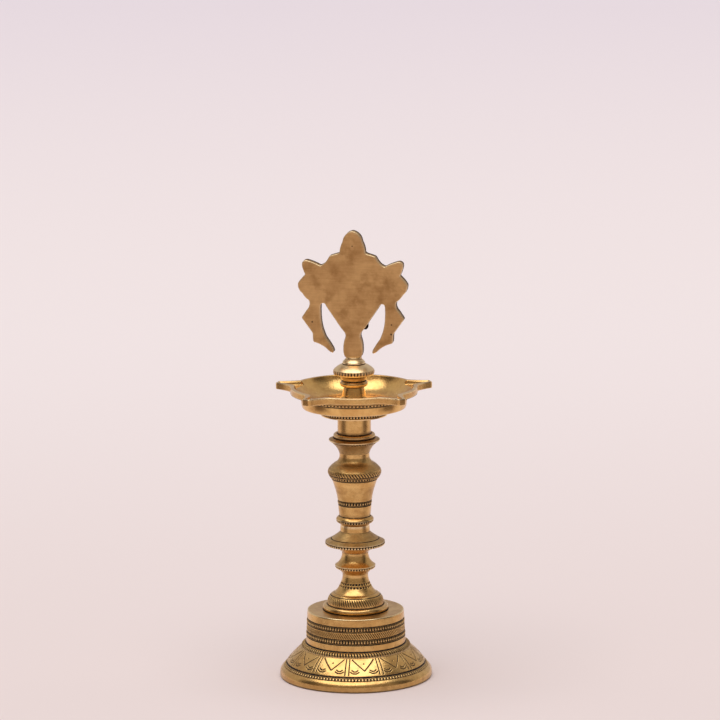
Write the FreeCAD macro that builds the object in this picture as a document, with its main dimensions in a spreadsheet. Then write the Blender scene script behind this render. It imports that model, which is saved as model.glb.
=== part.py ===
import FreeCAD, Part
import math
import os

import Sketcher

# Brass oil lamp: a turned and cast standing lamp that unscrews into a hollow
# base, a two-part stem, a five-spouted oil dish, a ring, a knob and a plaque.
# Frame: +Z up, origin on the lamp's axis in the plane that it stands on, and
# the plaque's plain back towards -Y.

# Driving lengths, in millimetres. A rise is the height of one stretch of a
# turned outline, and the radius of the same name is the radius at its top.
LENGTHS = {
    # Base: a lip, an engraved skirt, a rope ring and a drum, hollow below
    "base_radius": 51.3,
    "base_wall": 3.4,
    "base_edge": 0.9,
    "base_plate": 3.6,
    "lip_rise": 2.2,
    "lip_setback": 2.4,
    "lip_shoulder_rise": 4.1,
    "border_setback": 4.8,
    "border_rise": 3.4,
    "skirt_top_radius": 36.9,
    "skirt_rise": 9.9,
    "rope_top_radius": 34.0,
    "rope_rise": 2.8,
    "drum_foot_radius": 33.7,
    "drum_foot_rise": 0.3,
    "drum_top_radius": 32.6,
    "drum_rise": 21.7,
    "drum_edge": 0.7,
    # Nut and washer that hold the lower stem to the base from below
    "spigot_radius": 5.0,
    "spigot_chamfer": 0.8,
    "spigot_spare": 1.8,
    "washer_radius": 10.0,
    "washer_thickness": 1.5,
    "nut_across_flats": 17.0,
    "nut_height": 6.0,
    "nut_chamfer": 1.0,
    # Lower stem, from the base up to the joint under the small beaded ring
    "foot_radius": 21.2,
    "torus_radius": 20.3,
    "torus_rise": 3.7,
    "foot_groove_radius": 19.0,
    "foot_groove_rise": 0.9,
    "ovolo_radius": 14.8,
    "ovolo_rise": 7.0,
    "ovolo_step": 0.5,
    "foot_neck_radius": 8.6,
    "foot_sweep_rise": 11.3,
    "foot_neck_rise": 1.8,
    "cone_ring_radius": 13.7,
    "cone_ring_rise": 5.5,
    "cone_ring_edge": 0.6,
    "middle_neck_radius": 8.9,
    "cone_ring_fall": 7.9,
    "middle_neck_rise": 0.9,
    "disc_radius": 20.1,
    "disc_rise": 6.6,
    "disc_edge": 0.9,
    "disc_neck_radius": 10.0,
    "disc_fall": 6.7,
    "lower_joint_radius": 9.8,
    "lower_joint_rise": 4.8,
    # Upper stem: small ring, vase, flange, torus and neck cylinder
    "collet_radius": 10.2,
    "small_ring_foot_rise": 0.6,
    "small_ring_radius": 12.8,
    "small_ring_rise": 3.0,
    "vase_foot_radius": 10.5,
    "small_ring_fall": 2.4,
    "vase_band_radius": 11.6,
    "vase_band_rise": 11.5,
    "vase_flare_radius": 14.0,
    "vase_flare_rise": 9.8,
    "vase_hip_radius": 17.3,
    "vase_hip_rise": 6.7,
    "vase_crown_radius": 17.7,
    "vase_crown_rise": 4.2,
    "vase_slope_radius": 13.6,
    "vase_slope_rise": 4.0,
    "upper_neck_radius": 10.1,
    "vase_fall": 4.6,
    "upper_neck_rise": 2.4,
    "flange_radius": 17.2,
    "flange_rise": 8.7,
    "flange_edge": 0.7,
    "flange_seat_radius": 13.4,
    "flange_fall": 1.3,
    "collar_radius": 13.2,
    "collar_rise": 2.7,
    "cylinder_radius": 11.2,
    "cylinder_rise": 12.8,
    # Threaded studs, whose threads are plain cylinders here
    "stem_stud_radius": 4.0,
    "stem_stud_chamfer": 0.6,
    "stem_stud_engagement": 12.0,
    "finial_stud_radius": 3.0,
    "finial_stud_chamfer": 0.5,
    "finial_stud_depth": 14.0,
    "finial_stud_engagement": 9.0,
    "stud_hole_spare": 0.6,
    # Clearances, each between two radii
    "running_clearance": 0.06,
    "passing_clearance": 0.30,
    # Oil dish
    "boss_radius": 22.6,
    "boss_rise": 3.4,
    "pan_setback": 8.4,
    "pan_rise": 1.8,
    "pan_edge": 0.5,
    "pan_wall_rise": 3.1,
    "pan_bead_setback": 4.8,
    "pan_bead_rise": 2.2,
    "rim_radius": 42.7,
    "rim_flare_rise": 3.8,
    "rim_thickness": 4.4,
    "rim_land": 2.5,
    "rim_edge": 0.4,
    "bowl_floor": 3.2,
    "bowl_floor_setback": 16.7,
    "hub_foot_radius": 9.2,
    "hub_radius": 7.6,
    "hub_top_radius": 6.6,
    "hub_fillet_rise": 3.0,
    "hub_stand": 0.3,
    "spout_length": 11.8,
    "spout_tip_width": 5.6,
    "spout_root_width": 20.0,
    "trough_depth": 2.7,
    "trough_wall": 1.5,
    "trough_end": 2.0,
    "trough_bowl_overlap": 3.0,
    # Ring between the dish's hub and the knob
    "ring_radius": 8.3,
    "ring_rise": 3.5,
    # Knob
    "knob_foot_radius": 7.8,
    "knob_foot_rise": 0.6,
    "knob_flare_radius": 13.3,
    "knob_flare_rise": 4.0,
    "knob_belly_radius": 13.6,
    "knob_belly_rise": 3.2,
    "knob_shoulder_radius": 8.2,
    "knob_shoulder_rise": 3.8,
    "knob_groove_depth": 0.9,
    "knob_groove_rise": 0.5,
    "knob_collar_radius": 7.6,
    "knob_collar_rise": 0.8,
    "knob_top_radius": 5.3,
    "knob_top_rise": 3.6,
    "slot_width": 8.6,
    "slot_thickness": 4.0,
    "slot_depth": 5.6,
    "slot_clearance": 0.05,
    # Plaque
    "plaque_half_width": 36.9,
    "plaque_height": 85.5,
    "plaque_thickness": 7.0,
    "conch_length": 52.0,
    "conch_half_width": 12.5,
    "conch_across": 8.0,
    "conch_level": 18.0,
    # How far a cutting shape runs past what it cuts
    "overrun": 1.0,
}

# Angles, in degrees, seen from above and counted from +X
ANGLES = {
    "spout_angle": 18.0,
    "plaque_turn": -9.0,
    "conch_tilt": 16.0,
}

SPOUT_COUNT = 5
NUT_SIDES = 6

# How far a curved stretch bows out of its chord, as a share of the chord: to
# the outside of the lamp where it is positive, and hollow where it is negative
BOW_SHARES = {
    "edge": 0.20,
    "lip": 0.13,
    "skirt": 0.03,
    "rope": 0.24,
    "torus": 0.36,
    "ovolo": 0.16,
    "sweep": -0.08,
    "cone": -0.07,
    "fall": -0.13,
    "disc": -0.10,
    "disc_fall": -0.04,
    "small_ring_foot": 0.03,
    "small_ring": 0.12,
    "flare": -0.03,
    "hip": -0.06,
    "crown": 0.12,
    "slope": 0.04,
    "flange": -0.10,
    "collar": 0.30,
    "pan_wall": -0.06,
    "bead_row": 0.16,
    "bowl": -0.12,
    "hub": -0.18,
    "spout": -0.05,
    "ring": 0.30,
    "knob_flare": -0.14,
    "knob_belly": 0.14,
    "knob_dome": 0.12,
}

# Right half of the plaque's outline, from its foot up to the middle of its
# top: (share of the half width, share of the height, bow share of the stretch
# that ends there)
PLAQUE_SHARES = (
    (0.142, 0.000, 0.0),
    (0.176, 0.063, 0.08),
    (0.138, 0.158, 0.05),
    (0.167, 0.206, -0.14),
    (0.304, 0.288, 0.02),
    (0.487, 0.404, 0.0),
    (0.550, 0.428, -0.20),
    (0.590, 0.396, -0.20),
    (0.590, 0.316, -0.02),
    (0.554, 0.215, -0.03),
    (0.492, 0.146, -0.02),
    (0.394, 0.083, 0.02),
    (0.352, 0.042, 0.06),
    (0.384, 0.034, 0.30),
    (0.482, 0.066, 0.06),
    (0.725, 0.117, -0.06),
    (0.735, 0.186, 0.02),
    (0.938, 0.308, 0.0),
    (0.846, 0.368, 0.0),
    (0.797, 0.446, -0.15),
    (0.915, 0.500, 0.08),
    (1.000, 0.564, 0.12),
    (0.992, 0.588, 0.10),
    (0.862, 0.652, 0.03),
    (0.902, 0.690, 0.05),
    (0.922, 0.729, 0.06),
    (0.881, 0.760, 0.20),
    (0.810, 0.760, 0.12),
    (0.591, 0.721, 0.03),
    (0.501, 0.746, -0.05),
    (0.453, 0.773, 0.0),
    (0.417, 0.800, 0.03),
    (0.317, 0.815, 0.0),
    (0.233, 0.829, -0.06),
    (0.178, 0.915, 0.06),
    (0.000, 1.000, 0.17),
)

# Half outline of the conch on the plaque's front, from the tip of its tail to
# the point of its spire: (share of the half width, share of the length)
CONCH_SHARES = (
    (0.14, 0.000),
    (0.22, 0.060),
    (0.30, 0.180),
    (0.56, 0.300),
    (0.84, 0.410),
    (0.98, 0.510),
    (1.00, 0.590),
    (0.92, 0.670),
    (0.72, 0.725),
    (0.60, 0.740),
    (0.58, 0.800),
    (0.44, 0.840),
    (0.36, 0.850),
    (0.32, 0.905),
    (0.18, 0.940),
    (0.00, 1.000),
)


class Size:
    """A length: its value, and the expression of the sheet that gives it."""

    def __init__(self, value, text):
        self.value = value
        self.text = text

    def __add__(self, other):
        return Size(self.value + other.value, f"{self.text} + {other.text}")

    def __sub__(self, other):
        return Size(self.value - other.value, f"{self.text} - ({other.text})")

    def __neg__(self):
        return Size(-self.value, f"-({self.text})")

    def part(self, share):
        """This length times a share."""
        return Size(self.value * share, f"({self.text}) * ({share})")


NOTHING = Size(0.0, "0 mm")
HALF_SHARE = 0.5

doc = FreeCAD.newDocument("oil_lamp")
sheet = doc.addObject("Spreadsheet::Sheet", "sizes")


def fill_sheet():
    """Writes every length, angle and count into the sheet, each under its own alias."""
    cells = {**LENGTHS, **ANGLES, "spout_count": SPOUT_COUNT, "nut_sides": NUT_SIDES}
    for row, (name, value) in enumerate(cells.items(), start=1):
        sheet.set(f"A{row}", name)
        sheet.set(f"B{row}", str(value))
        sheet.setAlias(f"B{row}", name)
    doc.recompute()


def size(name):
    """The named length of the sheet."""
    return Size(LENGTHS[name], f"sizes.{name} * 1 mm")


def total(*names):
    """The sum of named lengths."""
    result = size(names[0])
    for name in names[1:]:
        result = result + size(name)
    return result


class Outline:
    """A closed outline of straight and bowed stretches, in the plane of one sketch."""

    def __init__(self, across, along):
        self.points = [(across, along)]
        self.bows = []

    def line(self, across, along):
        """A straight stretch to a point."""
        return self.bow(across, along, 0.0)

    def bow(self, across, along, share):
        """A stretch to a point, bowed to the right of its way by a share of its chord."""
        self.points.append((across, along))
        self.bows.append(share)
        return self

    def rise(self, radius_name, rise_name, bow_name=None):
        """The next stretch of a turned outline, up by a rise and out to a radius."""
        top = self.points[-1][1] + size(rise_name)
        return self.bow(size(radius_name), top, BOW_SHARES[bow_name] if bow_name else 0.0)

    @property
    def level(self):
        """The height reached so far."""
        return self.points[-1][1]

    def middle(self, index):
        """The middle of a bowed stretch."""
        (x1, y1), (x2, y2) = self.ends(index)
        share = self.bows[index]
        x = (x1 + x2).part(HALF_SHARE) + (y2 - y1).part(share)
        y = (y1 + y2).part(HALF_SHARE) - (x2 - x1).part(share)
        return x, y

    def ends(self, index):
        """The two ends of a stretch."""
        return self.points[index], self.points[(index + 1) % len(self.points)]

    def close(self):
        """Ends the outline with a straight stretch back to its start."""
        self.bows.append(0.0)
        return self


def rectangle(left, right, half_along):
    """A rectangle between two places across, as far along on either side of the middle."""
    outline = Outline(left, -half_along)
    outline.line(right, -half_along)
    outline.line(right, half_along)
    outline.line(left, half_along)
    return outline.close()


def vector(point):
    """A sketch point's place, as its sizes stand."""
    return FreeCAD.Vector(point[0].value, point[1].value, 0)


def arc_through(start, middle, end):
    """The arc through three points, as a counter-clockwise arc of a circle."""
    circle = Part.Arc(start, middle, end).toShape().Curve
    centre, radius = circle.Center, circle.Radius
    angles = [math.atan2(p.y - centre.y, p.x - centre.x) for p in (start, end)]
    return Part.ArcOfCircle(
        Part.Circle(centre, FreeCAD.Vector(0, 0, 1), radius), angles[0], angles[1]
    )


def ties(geometry, position, point):
    """The constraints that hold one point of a sketch at its two sizes, with their expressions."""
    return [
        (Sketcher.Constraint(kind, -1, 1, geometry, position, length.value), length.text)
        for kind, length in zip(("DistanceX", "DistanceY"), point)
    ]


def draw(sketch, outline):
    """Draws an outline in a sketch and ties each of its points to the sheet."""
    stretches = []
    held = []
    for index, share in enumerate(outline.bows):
        start, end = (vector(point) for point in outline.ends(index))
        if share == 0.0:
            stretches.append((sketch.addGeometry(Part.LineSegment(start, end)), 1, 2))
            continue
        place_on_arc = outline.middle(index)
        middle = vector(place_on_arc)
        if share > 0.0:
            arc = sketch.addGeometry(arc_through(start, middle, end))
            stretches.append((arc, 1, 2))
        else:
            arc = sketch.addGeometry(arc_through(end, middle, start))
            stretches.append((arc, 2, 1))
        mark = sketch.addGeometry(Part.Point(middle), True)
        held += ties(mark, 1, place_on_arc)
        held.append((Sketcher.Constraint("PointOnObject", mark, 1, arc), None))
    for index, (geometry, first, last) in enumerate(stretches):
        following, its_first, _ = stretches[(index + 1) % len(stretches)]
        join = Sketcher.Constraint("Coincident", geometry, last, following, its_first)
        held.append((join, None))
        held += ties(geometry, first, outline.points[index])
    sketch.addConstraint([constraint for constraint, _ in held])
    for number, (_, text) in enumerate(held):
        if text:
            sketch.setExpression(f"Constraints[{number}]", text)


def origin_part(body, role):
    """One of the origin planes or axes of a body."""
    return next(f for f in body.Origin.OriginFeatures if f.Role == role)


def new_body(label):
    """An empty body with its label."""
    body = doc.addObject("PartDesign::Body", label)
    body.Label = label
    return body


def new_sketch(body, name, role, outline=None, lift=None):
    """A sketch on one of its body's origin planes, lifted along the plane's normal."""
    sketch = body.newObject("Sketcher::SketchObject", name)
    sketch.AttachmentSupport = [(origin_part(body, role), "")]
    sketch.MapMode = "FlatFace"
    if lift:
        sketch.setExpression("AttachmentOffset.Base.z", lift.text)
    if outline:
        draw(sketch, outline)
    return sketch


def turn(body, outline):
    """The solid that an outline right of the axis sweeps in a full turn."""
    sketch = new_sketch(body, body.Name + "_outline", "XZ_Plane", outline)
    revolution = body.newObject("PartDesign::Revolution", body.Name + "_turned")
    revolution.Profile = sketch
    revolution.ReferenceAxis = (sketch, ["V_Axis"])
    revolution.Angle = 360
    sketch.Visibility = False
    return revolution


def around(body, name, feature, count_text):
    """Repeats a feature evenly round the axis."""
    pattern = body.newObject("PartDesign::PolarPattern", name)
    pattern.Originals = [feature]
    pattern.Axis = (origin_part(body, "Z_Axis"), [""])
    pattern.Angle = 360
    pattern.setExpression("Occurrences", count_text)
    body.Tip = pattern
    return pattern


def place(piece, level=None, angle_name=None):
    """Puts a sub-part at its level on the axis, turned by a named angle."""
    if angle_name:
        piece.Placement = FreeCAD.Placement(
            FreeCAD.Vector(), FreeCAD.Rotation(FreeCAD.Vector(0, 0, 1), ANGLES[angle_name])
        )
        piece.setExpression("Placement.Rotation.Angle", f"sizes.{angle_name} * 1 deg")
    if level:
        piece.setExpression("Placement.Base.z", level.text)


base_height = total(
    "base_edge", "lip_rise", "lip_shoulder_rise", "border_rise", "skirt_rise", "rope_rise",
    "drum_foot_rise", "drum_rise", "drum_edge",
)
lower_stem_height = total(
    "torus_rise", "foot_groove_rise", "ovolo_rise", "foot_sweep_rise", "foot_neck_rise",
    "cone_ring_rise", "cone_ring_edge", "cone_ring_fall", "middle_neck_rise", "disc_rise",
    "disc_edge", "disc_fall", "lower_joint_rise",
)
upper_stem_height = total(
    "small_ring_foot_rise", "small_ring_rise", "small_ring_fall", "vase_band_rise",
    "vase_flare_rise", "vase_hip_rise", "vase_crown_rise", "vase_slope_rise", "vase_fall",
    "upper_neck_rise", "flange_rise", "flange_edge", "flange_fall", "collar_rise",
    "cylinder_rise",
)
dish_height = total(
    "boss_rise", "pan_rise", "pan_edge", "pan_wall_rise", "pan_bead_rise", "rim_flare_rise",
    "rim_thickness",
)
hub_height = dish_height + size("hub_stand")
knob_height = total(
    "knob_foot_rise", "knob_flare_rise", "knob_belly_rise", "knob_shoulder_rise",
    "knob_groove_rise", "knob_collar_rise", "knob_top_rise",
)
stem_joint_level = base_height + lower_stem_height
dish_level = stem_joint_level + upper_stem_height
ring_level = dish_level + hub_height
knob_level = ring_level + size("ring_rise")
plaque_level = knob_level + knob_height
finial_stud_foot = dish_level - size("finial_stud_depth")


def make_base():
    """The hollow foot: lip, skirt, rope ring and drum over a cavity open below."""
    body = new_body("base")
    wall = size("base_wall")
    hole = size("spigot_radius") + size("running_clearance")
    outline = Outline(size("base_radius") - wall, NOTHING)
    outline.line(size("base_radius") - size("base_edge"), NOTHING)
    outline.rise("base_radius", "base_edge")
    outline.rise("base_radius", "lip_rise")
    lip_top = outline.level
    outline.bow(
        size("base_radius") - size("lip_setback"),
        lip_top + size("lip_shoulder_rise"),
        BOW_SHARES["lip"],
    )
    outline.line(
        size("base_radius") - size("border_setback"), outline.level + size("border_rise")
    )
    outline.rise("skirt_top_radius", "skirt_rise", "skirt")
    skirt_top = outline.level
    outline.rise("rope_top_radius", "rope_rise", "rope")
    outline.rise("drum_foot_radius", "drum_foot_rise")
    outline.rise("drum_top_radius", "drum_rise")
    outline.bow(
        size("drum_top_radius") - size("drum_edge"),
        outline.level + size("drum_edge"),
        BOW_SHARES["edge"],
    )
    outline.line(hole, base_height)
    ceiling = base_height - size("base_plate")
    outline.line(hole, ceiling)
    outline.line(size("drum_top_radius") - wall, ceiling)
    outline.line(size("drum_foot_radius") - wall, skirt_top)
    outline.line(size("base_radius") - wall, lip_top)
    turn(body, outline.close())
    return body


def make_lower_stem():
    """The turned lower stem, from its threaded spigot up to the stem joint."""
    body = new_body("lower_stem")
    hole = size("stem_stud_radius") + size("running_clearance")
    spigot = total("base_plate", "washer_thickness", "nut_height", "spigot_spare")
    outline = Outline(NOTHING, -spigot)
    outline.line(size("spigot_radius") - size("spigot_chamfer"), -spigot)
    outline.line(size("spigot_radius"), size("spigot_chamfer") - spigot)
    outline.line(size("spigot_radius"), NOTHING)
    outline.line(size("foot_radius"), NOTHING)
    outline.rise("torus_radius", "torus_rise", "torus")
    outline.line(size("foot_groove_radius"), outline.level)
    outline.rise("foot_groove_radius", "foot_groove_rise")
    outline.rise("ovolo_radius", "ovolo_rise", "ovolo")
    outline.line(size("ovolo_radius") - size("ovolo_step"), outline.level)
    outline.rise("foot_neck_radius", "foot_sweep_rise", "sweep")
    outline.rise("foot_neck_radius", "foot_neck_rise")
    outline.rise("cone_ring_radius", "cone_ring_rise", "cone")
    outline.rise("cone_ring_radius", "cone_ring_edge")
    outline.rise("middle_neck_radius", "cone_ring_fall", "fall")
    outline.rise("middle_neck_radius", "middle_neck_rise")
    outline.rise("disc_radius", "disc_rise", "disc")
    outline.rise("disc_radius", "disc_edge")
    outline.rise("disc_neck_radius", "disc_fall", "disc_fall")
    outline.rise("lower_joint_radius", "lower_joint_rise")
    outline.line(hole, outline.level)
    bottom = lower_stem_height - size("stem_stud_engagement") - size("stud_hole_spare")
    outline.line(hole, bottom)
    outline.line(NOTHING, bottom)
    turn(body, outline.close())
    place(body, base_height)
    return body


def make_upper_stem():
    """The turned upper stem: small ring, vase, flange, torus and neck cylinder."""
    body = new_body("upper_stem")
    lower_hole = size("stem_stud_radius") + size("running_clearance")
    upper_hole = size("finial_stud_radius") + size("running_clearance")
    outline = Outline(lower_hole, NOTHING)
    outline.line(size("lower_joint_radius"), NOTHING)
    outline.rise("collet_radius", "small_ring_foot_rise")
    outline.rise("small_ring_radius", "small_ring_rise", "small_ring_foot")
    outline.rise("vase_foot_radius", "small_ring_fall", "small_ring")
    outline.rise("vase_band_radius", "vase_band_rise")
    outline.rise("vase_flare_radius", "vase_flare_rise", "flare")
    outline.rise("vase_hip_radius", "vase_hip_rise", "hip")
    outline.rise("vase_crown_radius", "vase_crown_rise", "crown")
    outline.rise("vase_slope_radius", "vase_slope_rise", "slope")
    outline.rise("upper_neck_radius", "vase_fall", "fall")
    outline.rise("upper_neck_radius", "upper_neck_rise")
    outline.rise("flange_radius", "flange_rise", "flange")
    outline.rise("flange_radius", "flange_edge")
    outline.rise("flange_seat_radius", "flange_fall")
    outline.rise("collar_radius", "collar_rise", "collar")
    outline.line(size("cylinder_radius"), outline.level)
    outline.rise("cylinder_radius", "cylinder_rise")
    outline.line(upper_hole, outline.level)
    blind = upper_stem_height - size("finial_stud_depth") - size("stud_hole_spare")
    outline.line(upper_hole, blind)
    outline.line(NOTHING, blind)
    roof = size("stem_stud_engagement") + size("stud_hole_spare")
    outline.line(NOTHING, roof)
    outline.line(lower_hole, roof)
    turn(body, outline.close())
    place(body, stem_joint_level)
    return body


def spout_outline(root_width, tip_width, root, tip):
    """The plan of one beak along +X, with hollow sides between its root and its tip."""
    outline = Outline(root, -root_width)
    outline.bow(tip, -tip_width, BOW_SHARES["spout"])
    outline.line(tip, tip_width)
    outline.bow(root, root_width, BOW_SHARES["spout"])
    return outline.close()


def make_dish():
    """The oil dish: boss, pan, rim and hub turned together, and five open spouts."""
    body = new_body("dish")
    bore = size("finial_stud_radius") + size("passing_clearance")
    outline = Outline(bore, NOTHING)
    outline.line(size("boss_radius"), NOTHING)
    outline.rise("boss_radius", "boss_rise")
    pan = size("rim_radius") - size("pan_setback")
    outline.line(pan, outline.level + size("pan_rise"))
    pan_side = pan + size("pan_edge")
    outline.bow(pan_side, outline.level + size("pan_edge"), BOW_SHARES["edge"])
    outline.bow(pan_side, outline.level + size("pan_wall_rise"), BOW_SHARES["pan_wall"])
    outline.bow(
        size("rim_radius") - size("pan_bead_setback"),
        outline.level + size("pan_bead_rise"),
        BOW_SHARES["bead_row"],
    )
    outline.line(size("rim_radius") - size("rim_edge"), outline.level + size("rim_flare_rise"))
    outline.line(size("rim_radius"), outline.level + size("rim_edge"))
    outline.line(size("rim_radius"), dish_height - size("rim_edge"))
    outline.line(size("rim_radius") - size("rim_edge"), dish_height)
    outline.line(size("rim_radius") - size("rim_land"), dish_height)
    floor = total("boss_rise", "pan_rise") + size("bowl_floor")
    outline.bow(size("rim_radius") - size("bowl_floor_setback"), floor, BOW_SHARES["bowl"])
    outline.line(size("hub_foot_radius"), floor)
    outline.bow(size("hub_radius"), floor + size("hub_fillet_rise"), BOW_SHARES["hub"])
    outline.line(size("hub_top_radius"), hub_height)
    outline.line(bore, hub_height)
    turn(body, outline.close())

    rim_bottom = dish_height - size("rim_thickness")
    root = size("rim_radius") - size("rim_land").part(HALF_SHARE)
    tip = size("rim_radius") + size("spout_length")
    beak = spout_outline(
        size("spout_root_width").part(HALF_SHARE),
        size("spout_tip_width").part(HALF_SHARE),
        root,
        tip,
    )
    sketch = new_sketch(body, "spout_plan", "XY_Plane", beak, rim_bottom)
    spout = body.newObject("PartDesign::Pad", "spout")
    spout.Profile = sketch
    spout.setExpression("Length", size("rim_thickness").text)
    around(body, "spouts", spout, "sizes.spout_count")
    doc.recompute()
    solid_volume = body.Shape.Volume

    trough_root = size("rim_radius") - size("rim_land") - size("trough_bowl_overlap")
    channel = spout_outline(
        size("spout_root_width").part(HALF_SHARE) - size("trough_wall"),
        size("spout_tip_width").part(HALF_SHARE) - size("trough_wall"),
        trough_root,
        tip - size("trough_end"),
    )
    sketch = new_sketch(body, "trough_plan", "XY_Plane", channel, dish_height)
    trough = body.newObject("PartDesign::Pocket", "trough")
    trough.Profile = sketch
    trough.setExpression("Length", size("trough_depth").text)
    around(body, "troughs", trough, "sizes.spout_count")
    check_cut(body, solid_volume)
    place(body, dish_level, "spout_angle")
    return body


def check_cut(body, volume_before):
    """Stops if the last cut in a body took nothing away."""
    doc.recompute()
    if not body.Shape.Volume < volume_before:
        raise RuntimeError(f"the last cut in {body.Label} takes nothing away")


def make_ring():
    """The loose ring that the knob clamps onto the dish's hub."""
    body = new_body("ring")
    bore = size("finial_stud_radius") + size("passing_clearance")
    outline = Outline(bore, NOTHING)
    outline.line(size("ring_radius"), NOTHING)
    outline.rise("ring_radius", "ring_rise", "ring")
    outline.line(bore, outline.level)
    turn(body, outline.close())
    place(body, ring_level)
    return body


def make_knob():
    """The turned knob, with a blind threaded hole below and a slot for the plaque above."""
    body = new_body("knob")
    hole = size("finial_stud_radius") + size("running_clearance")
    outline = Outline(hole, NOTHING)
    outline.line(size("knob_foot_radius"), NOTHING)
    outline.rise("knob_foot_radius", "knob_foot_rise")
    outline.rise("knob_flare_radius", "knob_flare_rise", "knob_flare")
    outline.rise("knob_belly_radius", "knob_belly_rise", "knob_belly")
    outline.rise("knob_shoulder_radius", "knob_shoulder_rise", "knob_dome")
    groove = size("knob_shoulder_radius") - size("knob_groove_depth")
    outline.line(groove, outline.level)
    outline.line(groove, outline.level + size("knob_groove_rise"))
    outline.line(size("knob_collar_radius"), outline.level)
    outline.rise("knob_collar_radius", "knob_collar_rise")
    outline.rise("knob_top_radius", "knob_top_rise")
    outline.line(NOTHING, knob_height)
    roof = size("finial_stud_engagement") + size("stud_hole_spare")
    outline.line(NOTHING, roof)
    outline.line(hole, roof)
    turn(body, outline.close())
    doc.recompute()
    solid_volume = body.Shape.Volume
    half_width = size("slot_width").part(HALF_SHARE) + size("slot_clearance")
    half_depth = size("slot_thickness").part(HALF_SHARE) + size("slot_clearance")
    slot = rectangle(-half_width, half_width, half_depth)
    sketch = new_sketch(body, "slot_plan", "XY_Plane", slot, knob_height)
    pocket = body.newObject("PartDesign::Pocket", "slot")
    pocket.Profile = sketch
    pocket.setExpression("Length", size("slot_depth").text)
    check_cut(body, solid_volume)
    place(body, knob_level, "plaque_turn")
    return body


def mirrored(shares, half_width, height):
    """A closed outline from its right half, both halves given as shares."""
    first = shares[0]
    outline = Outline(half_width.part(first[0]), height.part(first[1]))
    for across, along, bow in shares[1:]:
        outline.bow(half_width.part(across), height.part(along), bow)
    for (across, along, _), (_, _, bow) in zip(reversed(shares[:-1]), reversed(shares[1:])):
        outline.bow(half_width.part(-across), height.part(along), bow)
    return outline.close()


def make_plaque():
    """The flat cast plaque, its back plain, a conch in relief on its front and a tang below."""
    body = new_body("plaque")
    half_thickness = size("plaque_thickness").part(HALF_SHARE)
    outline = mirrored(PLAQUE_SHARES, size("plaque_half_width"), size("plaque_height"))
    sketch = new_sketch(body, "plaque_outline", "XZ_Plane", outline, -half_thickness)
    plate = body.newObject("PartDesign::Pad", "plate")
    plate.Profile = sketch
    plate.setExpression("Length", size("plaque_thickness").text)
    doc.recompute()

    half_width = size("slot_width").part(HALF_SHARE)
    half_tang = size("slot_thickness").part(HALF_SHARE)
    depth = size("slot_depth") - size("slot_clearance")
    tang_plan = rectangle(-half_width, half_width, half_tang)
    sketch = new_sketch(body, "tang_plan", "XY_Plane", tang_plan, -depth)
    tang = body.newObject("PartDesign::Pad", "tang")
    tang.Profile = sketch
    tang.setExpression("Length", (depth + size("overrun")).text)
    doc.recompute()

    width, length = size("conch_half_width"), size("conch_length")
    half = Outline(NOTHING, NOTHING)
    for across, along in CONCH_SHARES:
        half.line(width.part(across), length.part(along))
    sketch = new_sketch(body, "conch_outline", "XZ_Plane", half.close(), -half_thickness)
    sketch.AttachmentOffset = FreeCAD.Placement(
        FreeCAD.Vector(), FreeCAD.Rotation(FreeCAD.Vector(0, 0, 1), ANGLES["conch_tilt"])
    )
    sketch.setExpression("AttachmentOffset.Rotation.Angle", "sizes.conch_tilt * 1 deg")
    sketch.setExpression("AttachmentOffset.Base.x", size("conch_across").text)
    sketch.setExpression("AttachmentOffset.Base.y", size("conch_level").text)
    conch = body.newObject("PartDesign::Revolution", "conch")
    conch.Profile = sketch
    conch.ReferenceAxis = (sketch, ["V_Axis"])
    conch.Angle = 180
    place(body, plaque_level, "plaque_turn")
    return body


def make_stud(label, radius_name, chamfer_name, length, foot):
    """A threaded stud as a plain rod with chamfered ends."""
    body = new_body(label)
    radius = size(radius_name)
    chamfer = size(chamfer_name)
    outline = Outline(NOTHING, NOTHING)
    outline.line(radius - chamfer, NOTHING)
    outline.line(radius, chamfer)
    outline.line(radius, length - chamfer)
    outline.line(radius - chamfer, length)
    outline.line(NOTHING, length)
    turn(body, outline.close())
    place(body, foot)
    return body


def make_nut():
    """The hexagon nut on the spigot: a chamfered disc with flats cut round it."""
    body = new_body("base_nut")
    bore = size("spigot_radius") + size("running_clearance")
    corner = size("nut_across_flats").part(HALF_SHARE / math.cos(math.pi / NUT_SIDES))
    chamfer = size("nut_chamfer")
    top = size("nut_height")
    outline = Outline(bore, NOTHING)
    outline.line(corner - chamfer, NOTHING)
    outline.line(corner, chamfer.part(HALF_SHARE))
    outline.line(corner, top - chamfer.part(HALF_SHARE))
    outline.line(corner - chamfer, top)
    outline.line(bore, top)
    turn(body, outline.close())
    doc.recompute()
    round_volume = body.Shape.Volume
    flat = size("nut_across_flats").part(HALF_SHARE)
    beyond = corner + size("overrun")
    side = rectangle(flat, beyond, corner)
    sketch = new_sketch(body, "flat_plan", "XY_Plane", side, top)
    pocket = body.newObject("PartDesign::Pocket", "nut_flat")
    pocket.Profile = sketch
    pocket.setExpression("Length", top.text)
    around(body, "nut_flats", pocket, "sizes.nut_sides")
    check_cut(body, round_volume)
    place(body, base_height - size("base_plate") - size("washer_thickness") - top)
    return body


def make_washer():
    """The washer between the nut and the underside of the base's plate."""
    disc = doc.addObject("Part::Cylinder", "washer_disc")
    disc.setExpression("Radius", size("washer_radius").text)
    disc.setExpression("Height", size("washer_thickness").text)
    bore = doc.addObject("Part::Cylinder", "washer_bore")
    bore.setExpression("Radius", (size("spigot_radius") + size("running_clearance")).text)
    bore.setExpression("Height", total("washer_thickness", "overrun", "overrun").text)
    bore.setExpression("Placement.Base.z", (-size("overrun")).text)
    washer = doc.addObject("Part::Cut", "base_washer")
    washer.Label = "base_washer"
    washer.Base = disc
    washer.Tool = bore
    place(washer, base_height - size("base_plate") - size("washer_thickness"))
    return washer


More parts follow.
